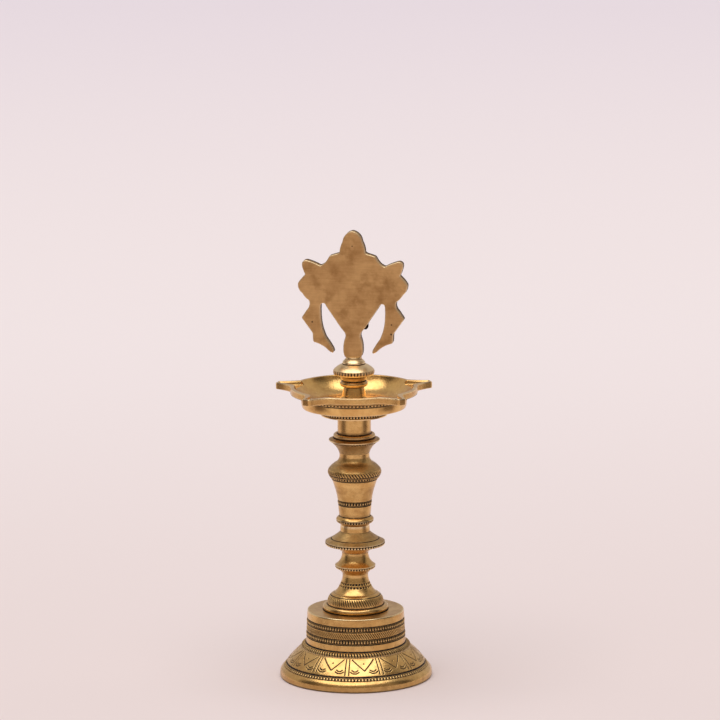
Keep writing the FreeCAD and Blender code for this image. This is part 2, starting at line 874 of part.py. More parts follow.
def check_document():
    """Stops if any object of the document failed to compute."""
    doc.recompute()
    failed = [o.Name for o in doc.Objects if {"Invalid", "Error"} & set(o.State)]
    if failed:
        raise RuntimeError(f"these objects failed: {failed}")


def write_parts(pieces):
    """Checks each sub-part's solid and writes it under its label."""
    os.makedirs("parts", exist_ok=True)
    for piece in pieces:
        if piece.Shape.isNull() or not piece.Shape.isValid():
            raise RuntimeError(f"{piece.Label} has no valid shape")
    for piece in pieces:
        piece.Shape.exportStep(f"parts/{piece.Label}.step")


fill_sheet()
sub_parts = [
    make_base(),
    make_washer(),
    make_nut(),
    make_lower_stem(),
    make_stud(
        "stem_stud",
        "stem_stud_radius",
        "stem_stud_chamfer",
        total("stem_stud_engagement", "stem_stud_engagement"),
        stem_joint_level - size("stem_stud_engagement"),
    ),
    make_upper_stem(),
    make_dish(),
    make_ring(),
    make_stud(
        "finial_stud",
        "finial_stud_radius",
        "finial_stud_chamfer",
        knob_level + size("finial_stud_engagement") - finial_stud_foot,
        finial_stud_foot,
    ),
    make_knob(),
    make_plaque(),
]
check_document()
write_parts(sub_parts)
for piece in sub_parts:
    box = piece.Shape.BoundBox
    print(
        f"{piece.Label}: {len(piece.Shape.Solids)} solid, {piece.Shape.Volume:.1f} mm3,"
        f" Z {box.ZMin:.2f} to {box.ZMax:.2f}, X {box.XMin:.2f} to {box.XMax:.2f},"
        f" Y {box.YMin:.2f} to {box.YMax:.2f}"
    )
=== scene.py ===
import logging
import math
from collections.abc import Sequence
from dataclasses import dataclass
from enum import Enum

import bmesh
import bpy
import numpy as np
from mathutils import Matrix, Vector
from mathutils.geometry import delaunay_2d_cdt


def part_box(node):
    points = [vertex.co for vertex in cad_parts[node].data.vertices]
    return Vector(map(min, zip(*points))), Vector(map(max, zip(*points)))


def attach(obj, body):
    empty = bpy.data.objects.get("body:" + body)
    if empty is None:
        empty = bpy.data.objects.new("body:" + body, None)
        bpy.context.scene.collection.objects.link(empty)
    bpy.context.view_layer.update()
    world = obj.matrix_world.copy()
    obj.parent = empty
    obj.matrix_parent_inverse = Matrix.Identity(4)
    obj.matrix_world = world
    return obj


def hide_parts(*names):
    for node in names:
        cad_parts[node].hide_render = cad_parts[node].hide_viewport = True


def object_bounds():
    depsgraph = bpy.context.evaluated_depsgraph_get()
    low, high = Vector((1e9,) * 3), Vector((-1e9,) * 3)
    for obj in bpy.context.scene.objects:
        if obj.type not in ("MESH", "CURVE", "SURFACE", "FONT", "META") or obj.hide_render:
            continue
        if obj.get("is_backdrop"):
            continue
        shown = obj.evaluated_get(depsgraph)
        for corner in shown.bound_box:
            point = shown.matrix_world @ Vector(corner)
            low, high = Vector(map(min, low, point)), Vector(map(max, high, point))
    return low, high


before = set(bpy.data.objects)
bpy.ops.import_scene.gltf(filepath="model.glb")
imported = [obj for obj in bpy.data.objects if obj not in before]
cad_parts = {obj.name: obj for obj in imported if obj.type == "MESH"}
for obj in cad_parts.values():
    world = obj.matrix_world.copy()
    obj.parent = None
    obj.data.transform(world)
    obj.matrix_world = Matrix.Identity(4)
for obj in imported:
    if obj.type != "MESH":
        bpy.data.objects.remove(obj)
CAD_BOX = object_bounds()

# The looks of a standing brass oil lamp. Lengths are in millimetres, heights are
# counted from the floor and angles from +X, seen from above. A piece's mesh is
# scaled to metres when it is made. In the nodes, lengths are in metres.

MM = 0.001
TURN = 2.0 * math.pi
Array = np.ndarray
Color = tuple[float, float, float]
Relief = tuple[Array, Array]

log = logging.getLogger("oil_lamp")


class Slot(Enum):
    """The record's material slots."""

    FOOT = "foot_brass"
    TURNED = "turned_brass"
    DISH = "dish_brass"
    PLAQUE = "plaque_brass"
    STEEL = "fixing_steel"


class Body(Enum):
    """The rigid bodies that pieces ride on."""

    BASE = "base"
    STEM = "stem"
    DISH = "dish"
    FINIAL = "finial"
    STEM_STUD = "stem_stud"
    FINIAL_STUD = "finial_stud"


def smooth_step(value: Array, low: float, high: float) -> Array:
    """Rises smoothly from 0 at low to 1 at high.

    Args:
        value: The places to measure at.
        low: Where the rise starts.
        high: Where the rise ends; below low, the rise turns round.

    Returns:
        The share of the rise at each place.
    """
    share = np.clip((np.asarray(value, float) - low) / (high - low), 0.0, 1.0)
    return share * share * (3.0 - 2.0 * share)


def level_of(node: str, top: bool = False) -> float:
    """Gives the height of a CAD node's lowest or highest point.

    Args:
        node: The node's name.
        top: Whether the highest point is wanted.

    Returns:
        The height in millimetres.
    """
    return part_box(node)[1 if top else 0].z / MM


@dataclass
class Station:
    """One row of a turned surface: its place, its stretch, how far along it is, and its bands."""

    radius: float
    height: float
    stretch: int
    along: float
    bands: tuple["Band", ...] = ()


# Ornament: each band lies on one stretch of a turned outline, from start to end along it


@dataclass(frozen=True)
class Band:
    """A band of ornament round a turned piece.

    Attributes:
        start: Where it starts along its stretch.
        end: Where it ends.
        count: How many copies of its figure go round.
        depth: How deep it is cut.
        samples: How many points lie across one copy.
        step: How far its rows lie apart.
    """

    start: float
    end: float
    count: int = 1
    depth: float = 0.3

    samples: int = 8
    step: float = 0.22

    @property
    def segments(self) -> int:
        """How many points go round the band."""
        return self.count * self.samples

    @property
    def half(self) -> float:
        """Half of the band's width."""
        return (self.end - self.start) / 2.0

    def rows(self) -> list[float]:
        """Gives the places along the stretch that the band needs rows at."""
        number = max(2, math.ceil((self.end - self.start) / self.step))
        return list(np.linspace(self.start, self.end, number + 1))

    def holds(self, place: float) -> bool:
        """Tells whether a place along the stretch lies on the band."""
        return self.start - 0.01 <= place <= self.end + 0.01

    def off_middle(self, row: Station) -> float:
        """Gives how far a row lies past the band's middle."""
        return row.along - (self.start + self.end) / 2.0

    def across(self, angle: Array, radius: float, lean: float = 0.0) -> Array:
        """Measures how far each point lies from the middle of its copy.

        Args:
            angle: The points' angles.
            radius: The radius of the row.
            lean: How far the copies are shifted here, in copies.

        Returns:
            The distance round the piece in millimetres.
        """
        copies = angle * self.count / TURN + lean
        return (copies - np.round(copies)) * TURN * radius / self.count

    def across_share(self, angle: Array, radius: float, lean: float) -> Array:
        """Measures the same without its sign, as a share of one copy's width."""
        return np.abs(self.across(angle, radius, lean)) / (TURN * radius / self.count)

    def relief(self, angle: Array, row: Station) -> Relief:
        """Shapes one row of the band.

        Args:
            angle: The points' angles.
            row: The row's place.

        Returns:
            The lift in millimetres and the grime of each point.
        """
        raise NotImplementedError


@dataclass(frozen=True)
class Groove(Band):
    """A plain turned groove, hollow all round."""

    samples: int = 192
    step: float = 0.12

    def relief(self, angle: Array, row: Station) -> Relief:
        """Shapes one row of the groove, which is deepest in its middle.

        Args:
            angle: The points' angles.
            row: The row's place.

        Returns:
            The lift in millimetres and the grime of each point.
        """
        share = max(0.0, 1.0 - (self.off_middle(row) / self.half) ** 2)
        flat = np.ones_like(angle)
        return -self.depth * math.sqrt(share) * flat, min(1.0, 2.6 * share) * flat


@dataclass(frozen=True)
class Beads(Band):
    """A row of punched beads: domes on a sunk ground.

    Attributes:
        fill: How much of one copy's width a bead takes up.
        tall: How much of the band's width it takes up.
        proud: How far the whole band stands out.
    """

    fill: float = 0.80
    tall: float = 0.86
    proud: float = 0.0

    def relief(self, angle: Array, row: Station) -> Relief:
        """Shapes one row of the beads.

        Args:
            angle: The points' angles.
            row: The row's place.

        Returns:
            The lift in millimetres and the grime of each point.
        """
        off = self.off_middle(row)
        pitch = TURN * row.radius / self.count
        wide = self.across(angle, row.radius) / (self.fill * pitch / 2.0)
        inside = np.clip(1.0 - wide**2 - (off / (self.tall * self.half)) ** 2, 0.0, 1.0)
        ground = float(smooth_step(abs(off), self.half, self.half - 0.2))
        lift = (self.depth * (1.35 * np.sqrt(inside) - 1.0) + self.proud) * ground
        return lift, smooth_step(inside, 0.62, 0.12) * ground


@dataclass(frozen=True)
class Strokes(Band):
    """Leaning chisel cuts side by side, which narrow towards their ends.

    Attributes:
        lean: How far a cut leans from end to end, in copies.
        width: How much of one copy's width a cut takes up.
    """

    lean: float = 0.7
    width: float = 0.55
    step: float = 0.3

    def relief(self, angle: Array, row: Station) -> Relief:
        """Shapes one row of the cuts.

        Args:
            angle: The points' angles.
            row: The row's place.

        Returns:
            The lift in millimetres and the grime of each point.
        """
        place = self.off_middle(row) / self.half
        across = self.across_share(angle, row.radius, self.lean * place / 2.0)
        taper = max(0.0, 1.0 - place**4)
        cut = np.clip(1.0 - across / (self.width / 2.0 * (0.35 + 0.65 * taper)), 0.0, 1.0)
        cut = cut * float(smooth_step(abs(place), 1.0, 0.86))
        return -self.depth * cut, smooth_step(cut, 0.02, 0.4)


@dataclass(frozen=True)
class Lobes(Band):
    """Round lobes like a rope's strands, with notches between them.

    Attributes:
        lean: How far a lobe leans from end to end, in copies.
        dark: How deep a notch is where its grime starts, as a share of its depth.
    """

    lean: float = 0.0
    dark: float = 0.12

    def relief(self, angle: Array, row: Station) -> Relief:
        """Shapes one row of the lobes.

        Args:
            angle: The points' angles.
            row: The row's place.

        Returns:
            The lift in millimetres and the grime of each point.
        """
        place = self.off_middle(row) / self.half
        across = self.across_share(angle, row.radius, self.lean * place / 2.0) * 2.0
        notch = across**3 * float(smooth_step(abs(place), 1.0, 0.7))
        return -self.depth * notch, smooth_step(notch, self.dark, 4.0 * self.dark)


@dataclass(frozen=True)
class Punches(Band):
    """Round dots punched into the surface, in lines above each other.

    Attributes:
        lines: How many lines of dots lie above each other.
        size: The radius of a dot.
        lean: How far each line is shifted from the one below, in copies.
    """

    lines: int = 1
    size: float = 0.5
    lean: float = 0.0
    step: float = 0.16

    def relief(self, angle: Array, row: Station) -> Relief:
        """Shapes one row of the dots.

        Args:
            angle: The points' angles.
            row: The row's place.

        Returns:
            The lift in millimetres and the grime of each point.
        """
        pits = np.zeros_like(angle)
        spacing = (self.end - self.start) / self.lines
        for line in range(self.lines):
            high = (row.along - self.start - spacing * (line + 0.5)) / self.size
            wide = self.across(angle, row.radius, self.lean * (line - 0.5)) / self.size
            pits = np.maximum(pits, 1.0 - wide**2 - high**2)
        return -self.depth * np.sqrt(pits), smooth_step(pits, 0.05, 0.5)


# The right half of one panel of the skirt's engraving, which its left half mirrors:
# the ends of its lines, and its dot, as shares of the panel's half width and of its
# height from the foot up. The leaf's point and the dot lie a little off the middle.
LEAF_POINT = (0.03, 0.27)
PANEL_DOT = (0.02, 0.70)
HALF_PANEL = (
    ((0.89, 0.02), (0.89, 0.99)),
    ((0.72, 0.96), LEAF_POINT),
    ((0.80, 0.21), (0.66, 0.12)),
    ((0.66, 0.12), (0.46, 0.11)),
    ((0.46, 0.11), (0.30, 0.20)),
    ((0.72, 0.31), (0.60, 0.23)),
    ((0.60, 0.23), (0.48, 0.23)),
    ((0.48, 0.23), (0.36, 0.31)),
)


@dataclass(frozen=True)
class Panels(Band):
    """Engraved panels: upright double lines, a pointed leaf with a dot, and crescents.

    Attributes:
        phase: How far the panels are shifted round, in copies.
        width: The width of a cut line.
        dot: The radius of a dot.
    """

    count: int = 12
    samples: int = 98
    phase: float = 0.0
    width: float = 0.86
    dot: float = 0.6
    step: float = 0.24

    @staticmethod
    def mirrored(point: tuple[float, float], side: float) -> Array:
        """Puts a point of HALF_PANEL on one side; both sides share the leaf's point."""
        return np.array(point if point == LEAF_POINT else (side * point[0], point[1]))

    def relief(self, angle: Array, row: Station) -> Relief:
        """Shapes one row of the panels, whose cuts are deepest in the middle of each line.

        Args:
            angle: The points' angles.
            row: The row's place.

        Returns:
            The lift in millimetres and the grime of each point.
        """
        size = np.array((TURN * row.radius / self.count / 2.0, self.end - self.start))
        x = self.across(angle, row.radius, self.phase)
        y = row.along - self.start
        near = np.full_like(x, self.width)
        for side in (-1.0, 1.0):
            for line in HALF_PANEL:
                start, end = (self.mirrored(point, side) * size for point in line)
                way = end - start
                place = ((x - start[0]) * way[0] + (y - start[1]) * way[1]) / (way @ way)
                place = np.clip(place, 0.0, 1.0)
                gap = np.hypot(x - start[0] - place * way[0], y - start[1] - place * way[1])
                near = np.minimum(near, gap)
        gap = np.hypot(x - PANEL_DOT[0] * size[0], y - PANEL_DOT[1] * size[1])
        cut = np.clip(1.0 - near / (self.width / 2.0), 0.0, 1.0)
        cut = np.maximum(cut, np.clip(1.3 * (1.0 - gap / self.dot), 0.0, 1.0))
        return -self.depth * cut, smooth_step(cut, 0.04, 0.45)


@dataclass(frozen=True)
class Thread(Band):
    """A screw thread, as a ridge that climbs one pitch in each turn, with grease in its root."""

    pitch: float = 1.25
    samples: int = 40
    step: float = 0.16

    def relief(self, angle: Array, row: Station) -> Relief:
        """Shapes one row of the thread.

        Args:
            angle: The points' angles.
            row: The row's place.

        Returns:
            The lift in millimetres and the grime of each point.
        """
        place = (row.along / self.pitch - angle / TURN) % 1.0
        end = min(row.along - self.start, self.end - row.along)
        root = smooth_step(np.abs(place - 0.5), 0.42, 0.08) * float(smooth_step(end, 0.0, self.pitch / 2.0))
        return -self.depth * root, 0.75 * root


@dataclass(frozen=True)
class Flats(Band):
    """Flats filed on a round piece, as on a nut."""

    apothem: float = 8.5
    count: int = 6
    samples: int = 32

    def relief(self, angle: Array, row: Station) -> Relief:
        """Files one row of the flats, without grime."""
        turned = (angle + math.pi / self.count) % (TURN / self.count) - math.pi / self.count
        return np.minimum(0.0, self.apothem / np.cos(turned) - row.radius), np.zeros_like(angle)


@dataclass(frozen=True)
class Casting(Band):
    """The uneven skin that a sand mould leaves: low waves and a film of soot."""

    samples: int = 128
    step: float = 1.6

    def relief(self, angle: Array, row: Station) -> Relief:
        """Shapes one row of the skin.

        Args:
            angle: The points' angles.
            row: The row's place.

        Returns:
            The lift in millimetres and the grime of each point.
        """
        waves = np.sin(angle * 7.0 + row.along * 0.9)
        waves = waves * np.sin(angle * 17.0 - row.along * 1.7 + row.radius)
        waves = waves + 0.6 * np.sin(angle * 41.0 + row.along * 3.1)
        return self.depth * waves / 1.6, 0.55 + 0.2 * waves


@dataclass(frozen=True)
class Stretch:
    """One stretch of a turned outline, from the end of the last one.

    Attributes:
        radius: The radius at its end.
        rise: How far it climbs; below zero, it falls.
        bow: How far it bows out of its chord, as a share of the chord.
        bands: The ornament on it.
        edge: How far the corner at its end is rounded off.
        tarnish_and_shade: How brown and dark it is: brown patina, together with painted shade under ledges,
            in hollows and between parts.
        polish_and_highlight: How bright it is: worn bright, together with a painted highlight.
    """

    radius: float
    rise: float = 0.0
    bow: float = 0.0
    bands: tuple[Band, ...] = ()
    edge: float = 0.3
    tarnish_and_shade: float = 0.0
    polish_and_highlight: float = 0.0


# How rows are spaced along an outline: on plain rounds and straight lines, beside a
# corner and beside a band, and the least step between two rows
BOWED_STEP = 0.7
STRAIGHT_STEP = 2.2
BESIDE_CORNER = 0.25
BESIDE_BAND = 0.08
LEAST_STEP = 0.05
CORNER_ROWS = 5
PLAIN_SEGMENTS = 192


def bowed_point(start: Array, end: Array, bow: float, share: float) -> Array:
    """Finds a point on a line that bows out of its chord as an arc.

    Args:
        start: The line's start.
        end: Its end.
        bow: How far its middle lies off the chord, as a share of the chord.
        share: How far along it the point lies, from 0 to 1.

    Returns:
        The point.
    """
    chord = end - start
    length = float(np.hypot(*chord))
    if abs(bow) < 1e-6 or length < 1e-9:
        return start + chord * share
    rise = bow * length
    radius = (length**2 / 4.0 + rise**2) / (2.0 * abs(rise))
    half = math.asin(min(1.0, length / 2.0 / radius))
    side = np.array((chord[1], -chord[0])) / length * math.copysign(1.0, bow)
    centre = start + chord / 2.0 - side * (radius - abs(rise))
    turned = (2.0 * share - 1.0) * half
    return centre + radius * (side * math.cos(turned) + chord / length * math.sin(turned))


class Outline:
    """Samples a turned outline into rows, with its corners rounded."""

    def __init__(self, radius: float, height: float, stretches: Sequence[Stretch]) -> None:
        """Lays the stretches out from a first point.

        Args:
            radius: The radius that it starts at.
            height: The height that it starts at.
            stretches: Its stretches, with the solid on the left of their way.
        """
        self.stretches = stretches
        self.ends = [np.array((radius, height))]
        self.lengths: list[float] = []
        for stretch in stretches:
            self.ends.append(np.array((stretch.radius, self.ends[-1][1] + stretch.rise)))
            chord = float(np.hypot(*(self.ends[-1] - self.ends[-2])))
            self.lengths.append(chord * (1.0 + 8.0 / 3.0 * stretch.bow**2))

    def point(self, index: int, share: float) -> Array:
        """Gives the radius and height at a share of one stretch."""
        return bowed_point(self.ends[index], self.ends[index + 1], self.stretches[index].bow, share)

    def stations(self) -> list[Station]:
        """Samples the whole outline.

        Returns:
            Its rows, with some more round each corner.
        """
        rows: list[Station] = []
        for index, stretch in enumerate(self.stretches):
            for place in self.places(index):
                bands = tuple(band for band in stretch.bands if band.holds(place))
                point = self.point(index, place / self.lengths[index])
                rows.append(Station(point[0], point[1], index, place, bands))
            if self.edge(index) > 0.0:
                rows += self.corner(index)
        return rows

    def places(self, index: int) -> list[float]:
        """Spaces the rows of one stretch between its rounded corners.

        Args:
            index: The stretch's number.

        Returns:
            The places of its rows along it, closer together on bands.
        """
        stretch, length = self.stretches[index], self.lengths[index]
        before, after = self.edge(index - 1), self.edge(index)
        step = BOWED_STEP if abs(stretch.bow) > 0.02 else STRAIGHT_STEP
        number = max(1, math.ceil((length - before - after) / step))
        places = list(np.linspace(before, length - after, number + 1))
        places += [before + BESIDE_CORNER, length - after - BESIDE_CORNER]
        for band in stretch.bands:
            places = [place for place in places if not band.start - 0.1 < place < band.end + 0.1]
            places += [band.start - BESIDE_BAND, *band.rows(), band.end + BESIDE_BAND]
        kept: list[float] = []
        for place in sorted(places):
            inside = before - 1e-6 <= place <= length - after + 1e-6
            if inside and (not kept or place - kept[-1] >= LEAST_STEP):
                kept.append(place)
        return kept

    def edge(self, index: int) -> float:
        """Limits the rounding of a corner to what its two stretches allow.

        Args:
            index: The number of the stretch before the corner.

        Returns:
            How far the rounding reaches along each of them.
        """
        if index < 0 or index + 1 >= len(self.stretches):
            return 0.0
        return min(self.stretches[index].edge, 0.35 * min(self.lengths[index:index + 2]))

    def corner(self, index: int) -> list[Station]:
        """Rounds the corner after a stretch.

        Args:
            index: The stretch's number.

        Returns:
            The rows inside the rounding.
        """
        edge = self.edge(index)
        back = self.point(index, 1.0 - edge / self.lengths[index])
        ahead = self.point(index + 1, edge / self.lengths[index + 1])
        rows = []
        for place in np.linspace(0.0, 1.0, CORNER_ROWS)[1:-1]:
            middle = 2 * place * (1 - place) * self.ends[index + 1]
            point = (1 - place) ** 2 * back + middle + place**2 * ahead
            rows.append(Station(point[0], point[1], index, self.lengths[index]))
        return rows


class Skin:
    """Gathers the points and faces of one mesh, with the darkening and the brightening of each point: grime
    with painted shade, and wear with painted sheen.
    """

    def __init__(self) -> None:
        """Starts an empty skin."""
        self.points: list[Array] = []
        self.grime_and_shade: list[Array] = []
        self.wear_and_sheen: list[Array] = []
        self.faces: list[Array] = []
        self.count = 0

    def add(self, points: Array, grime_and_shade: Array, wear_and_sheen: Array) -> Array:
        """Adds points.

        Args:
            points: Their places in millimetres, one row each.
            grime_and_shade: Their darkening, from 0 to 1: grime together with painted shade.
            wear_and_sheen: How far they are made bright, from 0 to 1: worn bright, together with painted
                sheen.

        Returns:
            Their numbers in the mesh.
        """
        self.points.append(np.asarray(points, float))
        self.grime_and_shade.append(np.broadcast_to(grime_and_shade, (len(points),)).astype(float))
        self.wear_and_sheen.append(np.broadcast_to(wear_and_sheen, (len(points),)).astype(float))
        first = self.count
        self.count += len(points)
        return np.arange(first, self.count)

    def ring(self, angles: Array, radius: Array, height: Array, grime_and_shade: Array, wear_and_sheen: Array) -> Array:
        """Adds a closed ring of points about the lamp's axis.

        Args:
            angles: The points' angles.
            radius: Their radii.
            height: Their heights.
            grime_and_shade: Their darkening: grime together with painted shade.
            wear_and_sheen: How far they are made bright: wear together with painted sheen.

        Returns:
            Their numbers in the mesh.
        """
        radius = np.broadcast_to(radius, angles.shape)
        height = np.broadcast_to(height, angles.shape)
        points = np.stack([radius * np.cos(angles), radius * np.sin(angles), height], axis=1)
        return self.add(points, grime_and_shade, wear_and_sheen)

    def bridge(self, lower: Array, upper: Array) -> None:
        """Joins two closed rings, which are evenly spaced if they differ in number.

        Args:
            lower: The numbers of the ring before.
            upper: The numbers of the ring after.
        """
        if len(lower) == len(upper):
            beside, above = np.roll(lower, -1), np.roll(upper, -1)
            self.faces.append(np.stack([lower, beside, above, upper], axis=1))
            return
        below, above = len(lower), len(upper)
        triangles = []
        low = high = 0
        while low < below or high < above:
            ends = (lower[low % below], upper[high % above])
            if high >= above or (low < below and (low + 1) / below <= (high + 1) / above):
                low += 1
                triangles.append((ends[0], lower[low % below], ends[1]))
            else:
                high += 1
                triangles.append((ends[0], upper[high % above], ends[1]))
        self.faces.append(np.array(triangles))

    def cap(self, ring: Array, turned: bool) -> None:
        """Closes a ring with triangles to its middle.

        Args:
            ring: The numbers of the ring.
            turned: Whether the faces look the other way.
        """
        middle = np.mean(np.concatenate(self.points)[ring], axis=0, keepdims=True)
        centre = np.full_like(ring, self.add(middle, 0.0, 0.0)[0])
        beside = np.roll(ring, -1)
        pair = (beside, ring) if turned else (ring, beside)
        self.faces.append(np.stack([*pair, centre], axis=1))

    def piece(self, name: str, finish: "Finish", slot: Slot, body: Body, *nodes: str) -> None:
        """Makes the mesh object, dresses it and lets it ride.

        Args:
            name: The piece's name.
            finish: Its finish.
            slot: The record's slot for the finish; not used.
            body: The body that it rides on.
            *nodes: The CAD nodes that it stands for.
        """
        mesh = bpy.data.meshes.new(name)
        points = np.concatenate(self.points) * MM
        sizes = np.concatenate([np.full(len(faces), faces.shape[1]) for faces in self.faces])
        corners = np.concatenate([faces.ravel() for faces in self.faces])
        mesh.vertices.add(len(points))
        mesh.vertices.foreach_set("co", points.ravel())
        mesh.loops.add(len(corners))
        mesh.loops.foreach_set("vertex_index", corners.astype(np.int32))
        mesh.polygons.add(len(sizes))
        mesh.polygons.foreach_set("loop_start", (np.cumsum(sizes) - sizes).astype(np.int32))
        mesh.update(calc_edges=True)
        for label, values in (("grime_and_shade", self.grime_and_shade), ("wear_and_sheen", self.wear_and_sheen)):
            shares = np.clip(np.concatenate(values), 0.0, 1.0)
            stored = mesh.attributes.new(label, "FLOAT", "POINT")
            stored.data.foreach_set("value", shares.astype(np.float32))
        weld(mesh)
        mesh.polygons.foreach_set("use_smooth", np.ones(len(mesh.polygons), bool))
        mesh.materials.append(finish.material())
        piece = bpy.data.objects.new(name, mesh)
        bpy.context.scene.collection.objects.link(piece)
        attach(piece, body.value)
        if nodes:
            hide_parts(*nodes)
        log.info("%s: %d points, %d faces", name, len(mesh.vertices), len(mesh.polygons))


# Points that lie closer than this are joined
WELD_DISTANCE = 0.0005


def weld(mesh: bpy.types.Mesh) -> None:
    """Joins points that lie on each other.

    Args:
        mesh: The mesh to mend.
    """
    work = bmesh.new()
    work.from_mesh(mesh)
    bmesh.ops.remove_doubles(work, verts=work.verts, dist=WELD_DISTANCE * MM)
    work.to_mesh(mesh)
    work.free()


# How far along an outline a bend makes itself felt
BEND_REACH = 0.55


def bends(places: Array) -> tuple[Array, Array]:
    """Finds where an outline is hollow, which is darkened as grime together with painted shade, and where
    it stands proud, which is worn bright.

    Args:
        places: The outline's radii and heights, one row each.

    Returns:
        The darkening of each row, grime with painted shade, and the wear of each row.
    """
    steps = np.diff(places, axis=0)
    lengths = np.maximum(np.hypot(steps[:, 0], steps[:, 1]), 1e-6)
    heading = np.unwrap(np.arctan2(steps[:, 1], steps[:, 0]))
    turned = np.zeros(len(places))
    turned[1:-1] = np.diff(heading)
    along = np.concatenate([[0.0], np.cumsum(lengths)])
    near = np.exp(-(((along[:, None] - along[None, :]) / BEND_REACH) ** 2))
    spread = near @ turned
    return smooth_step(-spread, 0.25, 1.2), smooth_step(spread, 0.3, 1.2)


def turned_skin(outline: Outline, closed: bool = True) -> Skin:
    """Turns an outline into a closed skin, with its ornament as real relief.

    Args:
        outline: The outline to turn.
        closed: Whether its end is joined to its start, as it is not where both lie on the axis.

    Returns:
        The skin.
    """
    skin = Skin()
    rows = outline.stations()
    places = np.array([(row.radius, row.height) for row in rows])
    grime_and_shade, wear_and_sheen = bends(places)
    ahead = np.vstack([places[1:], places[-1:]]) - np.vstack([places[:1], places[:-1]])
    ahead /= np.maximum(np.hypot(ahead[:, 0], ahead[:, 1]), 1e-9)[:, None]
    rings = []
    for index, row in enumerate(rows):
        count = max([band.segments for band in row.bands], default=PLAIN_SEGMENTS)
        angles = np.arange(count) * TURN / count
        stretch = outline.stretches[row.stretch]
        # A row is darkened by its hollows and by its stretch's tarnish: grime and brown patina, together
        # with painted shade.
        lift, dirt_and_shade = np.zeros(count), np.full(count, max(grime_and_shade[index], stretch.tarnish_and_shade))
        for band in row.bands:
            raised, soiled = band.relief(angles, row)
            lift = lift + raised
            dirt_and_shade = np.maximum(dirt_and_shade, soiled)
        # A row is made bright by its convex bends, its stretch's polish and its beads' tops: wear, together
        # with a painted highlight where the polish is set.
        shine = np.clip(max(wear_and_sheen[index], stretch.polish_and_highlight) + lift * 2.0, 0.0, 1.0) * (1.0 - dirt_and_shade)
        radius = row.radius + lift * ahead[index][1]
        height = row.height - lift * ahead[index][0]
        rings.append(skin.ring(angles, radius, height, dirt_and_shade, shine))
    for lower, upper in zip(rings, rings[1:] + rings[:1] if closed else rings[1:]):
        skin.bridge(lower, upper)
    return skin


# Finishes: the shared effects are node groups, and the shaders stay in each material


class Graph:
    """Adds nodes to a node tree and joins them."""

    def __init__(self, tree: bpy.types.NodeTree) -> None:
        """Works on a node tree."""
        self.tree = tree

    def add(
        self, kind: str, inputs: dict[str | int, object] | None = None, **settings: object
    ) -> bpy.types.Node:
        """Adds a node.

        Args:
            kind: The node's type.
            inputs: A value or a socket for each named or numbered input.
            **settings: The node's own settings.

        Returns:
            The node.
        """
        node = self.tree.nodes.new(kind)
        for name, value in settings.items():
            setattr(node, name, value)
        for name, value in (inputs or {}).items():
            self.feed(node.inputs[name], value)
        return node

    def feed(self, socket: bpy.types.NodeSocket, value: object) -> None:
        """Gives an input its value, or joins a socket to it.

        Args:
            socket: The input.
            value: A socket, a number, or a colour or vector of three numbers.
        """
        if isinstance(value, bpy.types.NodeSocket):
            self.tree.links.new(value, socket)
        elif socket.type == "RGBA":
            socket.default_value = (*value, 1.0)
        else:
            socket.default_value = value

    def math(self, operation: str, *values: object, clamp: bool = False) -> bpy.types.NodeSocket:
        """Works out a sum of one to three values.

        Args:
            operation: The Math node's operation.
            *values: Numbers or sockets.
            clamp: Whether the result stays between 0 and 1.

        Returns:
            The result.
        """
        node = self.add("ShaderNodeMath", dict(enumerate(values)), operation=operation)
        node.use_clamp = clamp
        return node.outputs[0]

    def times(self, first: object, second: object, clamp: bool = False) -> bpy.types.NodeSocket:
        """Multiplies two values."""
        return self.math("MULTIPLY", first, second, clamp=clamp)

    def object_place(self) -> bpy.types.NodeSocket:
        """Gives the place on the object."""
        return self.add("ShaderNodeTexCoord").outputs["Object"]

    def axes(self, vector: bpy.types.NodeSocket) -> bpy.types.NodeOutputs:
        """Takes a vector apart into X, Y and Z."""
        return self.add("ShaderNodeSeparateXYZ", {0: vector}).outputs

    def off_axis(self, axes: bpy.types.NodeOutputs) -> bpy.types.NodeSocket:
        """Gives the distance from the Z axis."""
        return self.math("SQRT", self.math("ADD", *(self.math("POWER", axes[axis], 2.0) for axis in "XY")))

    def frontness(self, axes: bpy.types.NodeOutputs) -> bpy.types.NodeSocket:
        """Gives how far a place lies to the front of the Z axis, from 1 in front to -1 behind."""
        far = self.math("MAXIMUM", self.off_axis(axes), 0.001)
        return self.math("DIVIDE", self.times(axes["Y"], -1.0), far)

    def spread(
        self, value: object, low: float, high: float, first: float = 0.0, last: float = 1.0
    ) -> bpy.types.NodeSocket:
        """Maps a value smoothly from one range to another.

        Args:
            value: The value.
            low: Where its range starts.
            high: Where its range ends.
            first: The result at low.
            last: The result at high.

        Returns:
            The result.
        """
        ends = {"Value": value, "From Min": low, "From Max": high, "To Min": first, "To Max": last}
        node = self.add("ShaderNodeMapRange", ends, interpolation_type="SMOOTHSTEP")
        return node.outputs["Result"]

    def blend(self, share: object, first: object, second: object) -> bpy.types.NodeSocket:
        """Blends two colours.

        Args:
            share: The share of the second colour.
            first: The first colour.
            second: The second colour.

        Returns:
            The blended colour.
        """
        node = self.add("ShaderNodeMix", data_type="RGBA")
        self.feed(node.inputs[0], share)
        self.feed(node.inputs[6], first)
        self.feed(node.inputs[7], second)
        return node.outputs[2]

    def noise(self, vector: object, scale: object, detail: float = 3.0) -> bpy.types.NodeSocket:
        """Gives cloudy noise.

        Args:
            vector: Where it is read.
            scale: How fine it is, per metre.
            detail: How many finer layers it has.

        Returns:
            The noise, mostly between 0.3 and 0.7.
        """
        inputs = {"Vector": vector, "Scale": scale, "Detail": detail, "Roughness": 0.6}
        return self.add("ShaderNodeTexNoise", inputs).outputs[0]


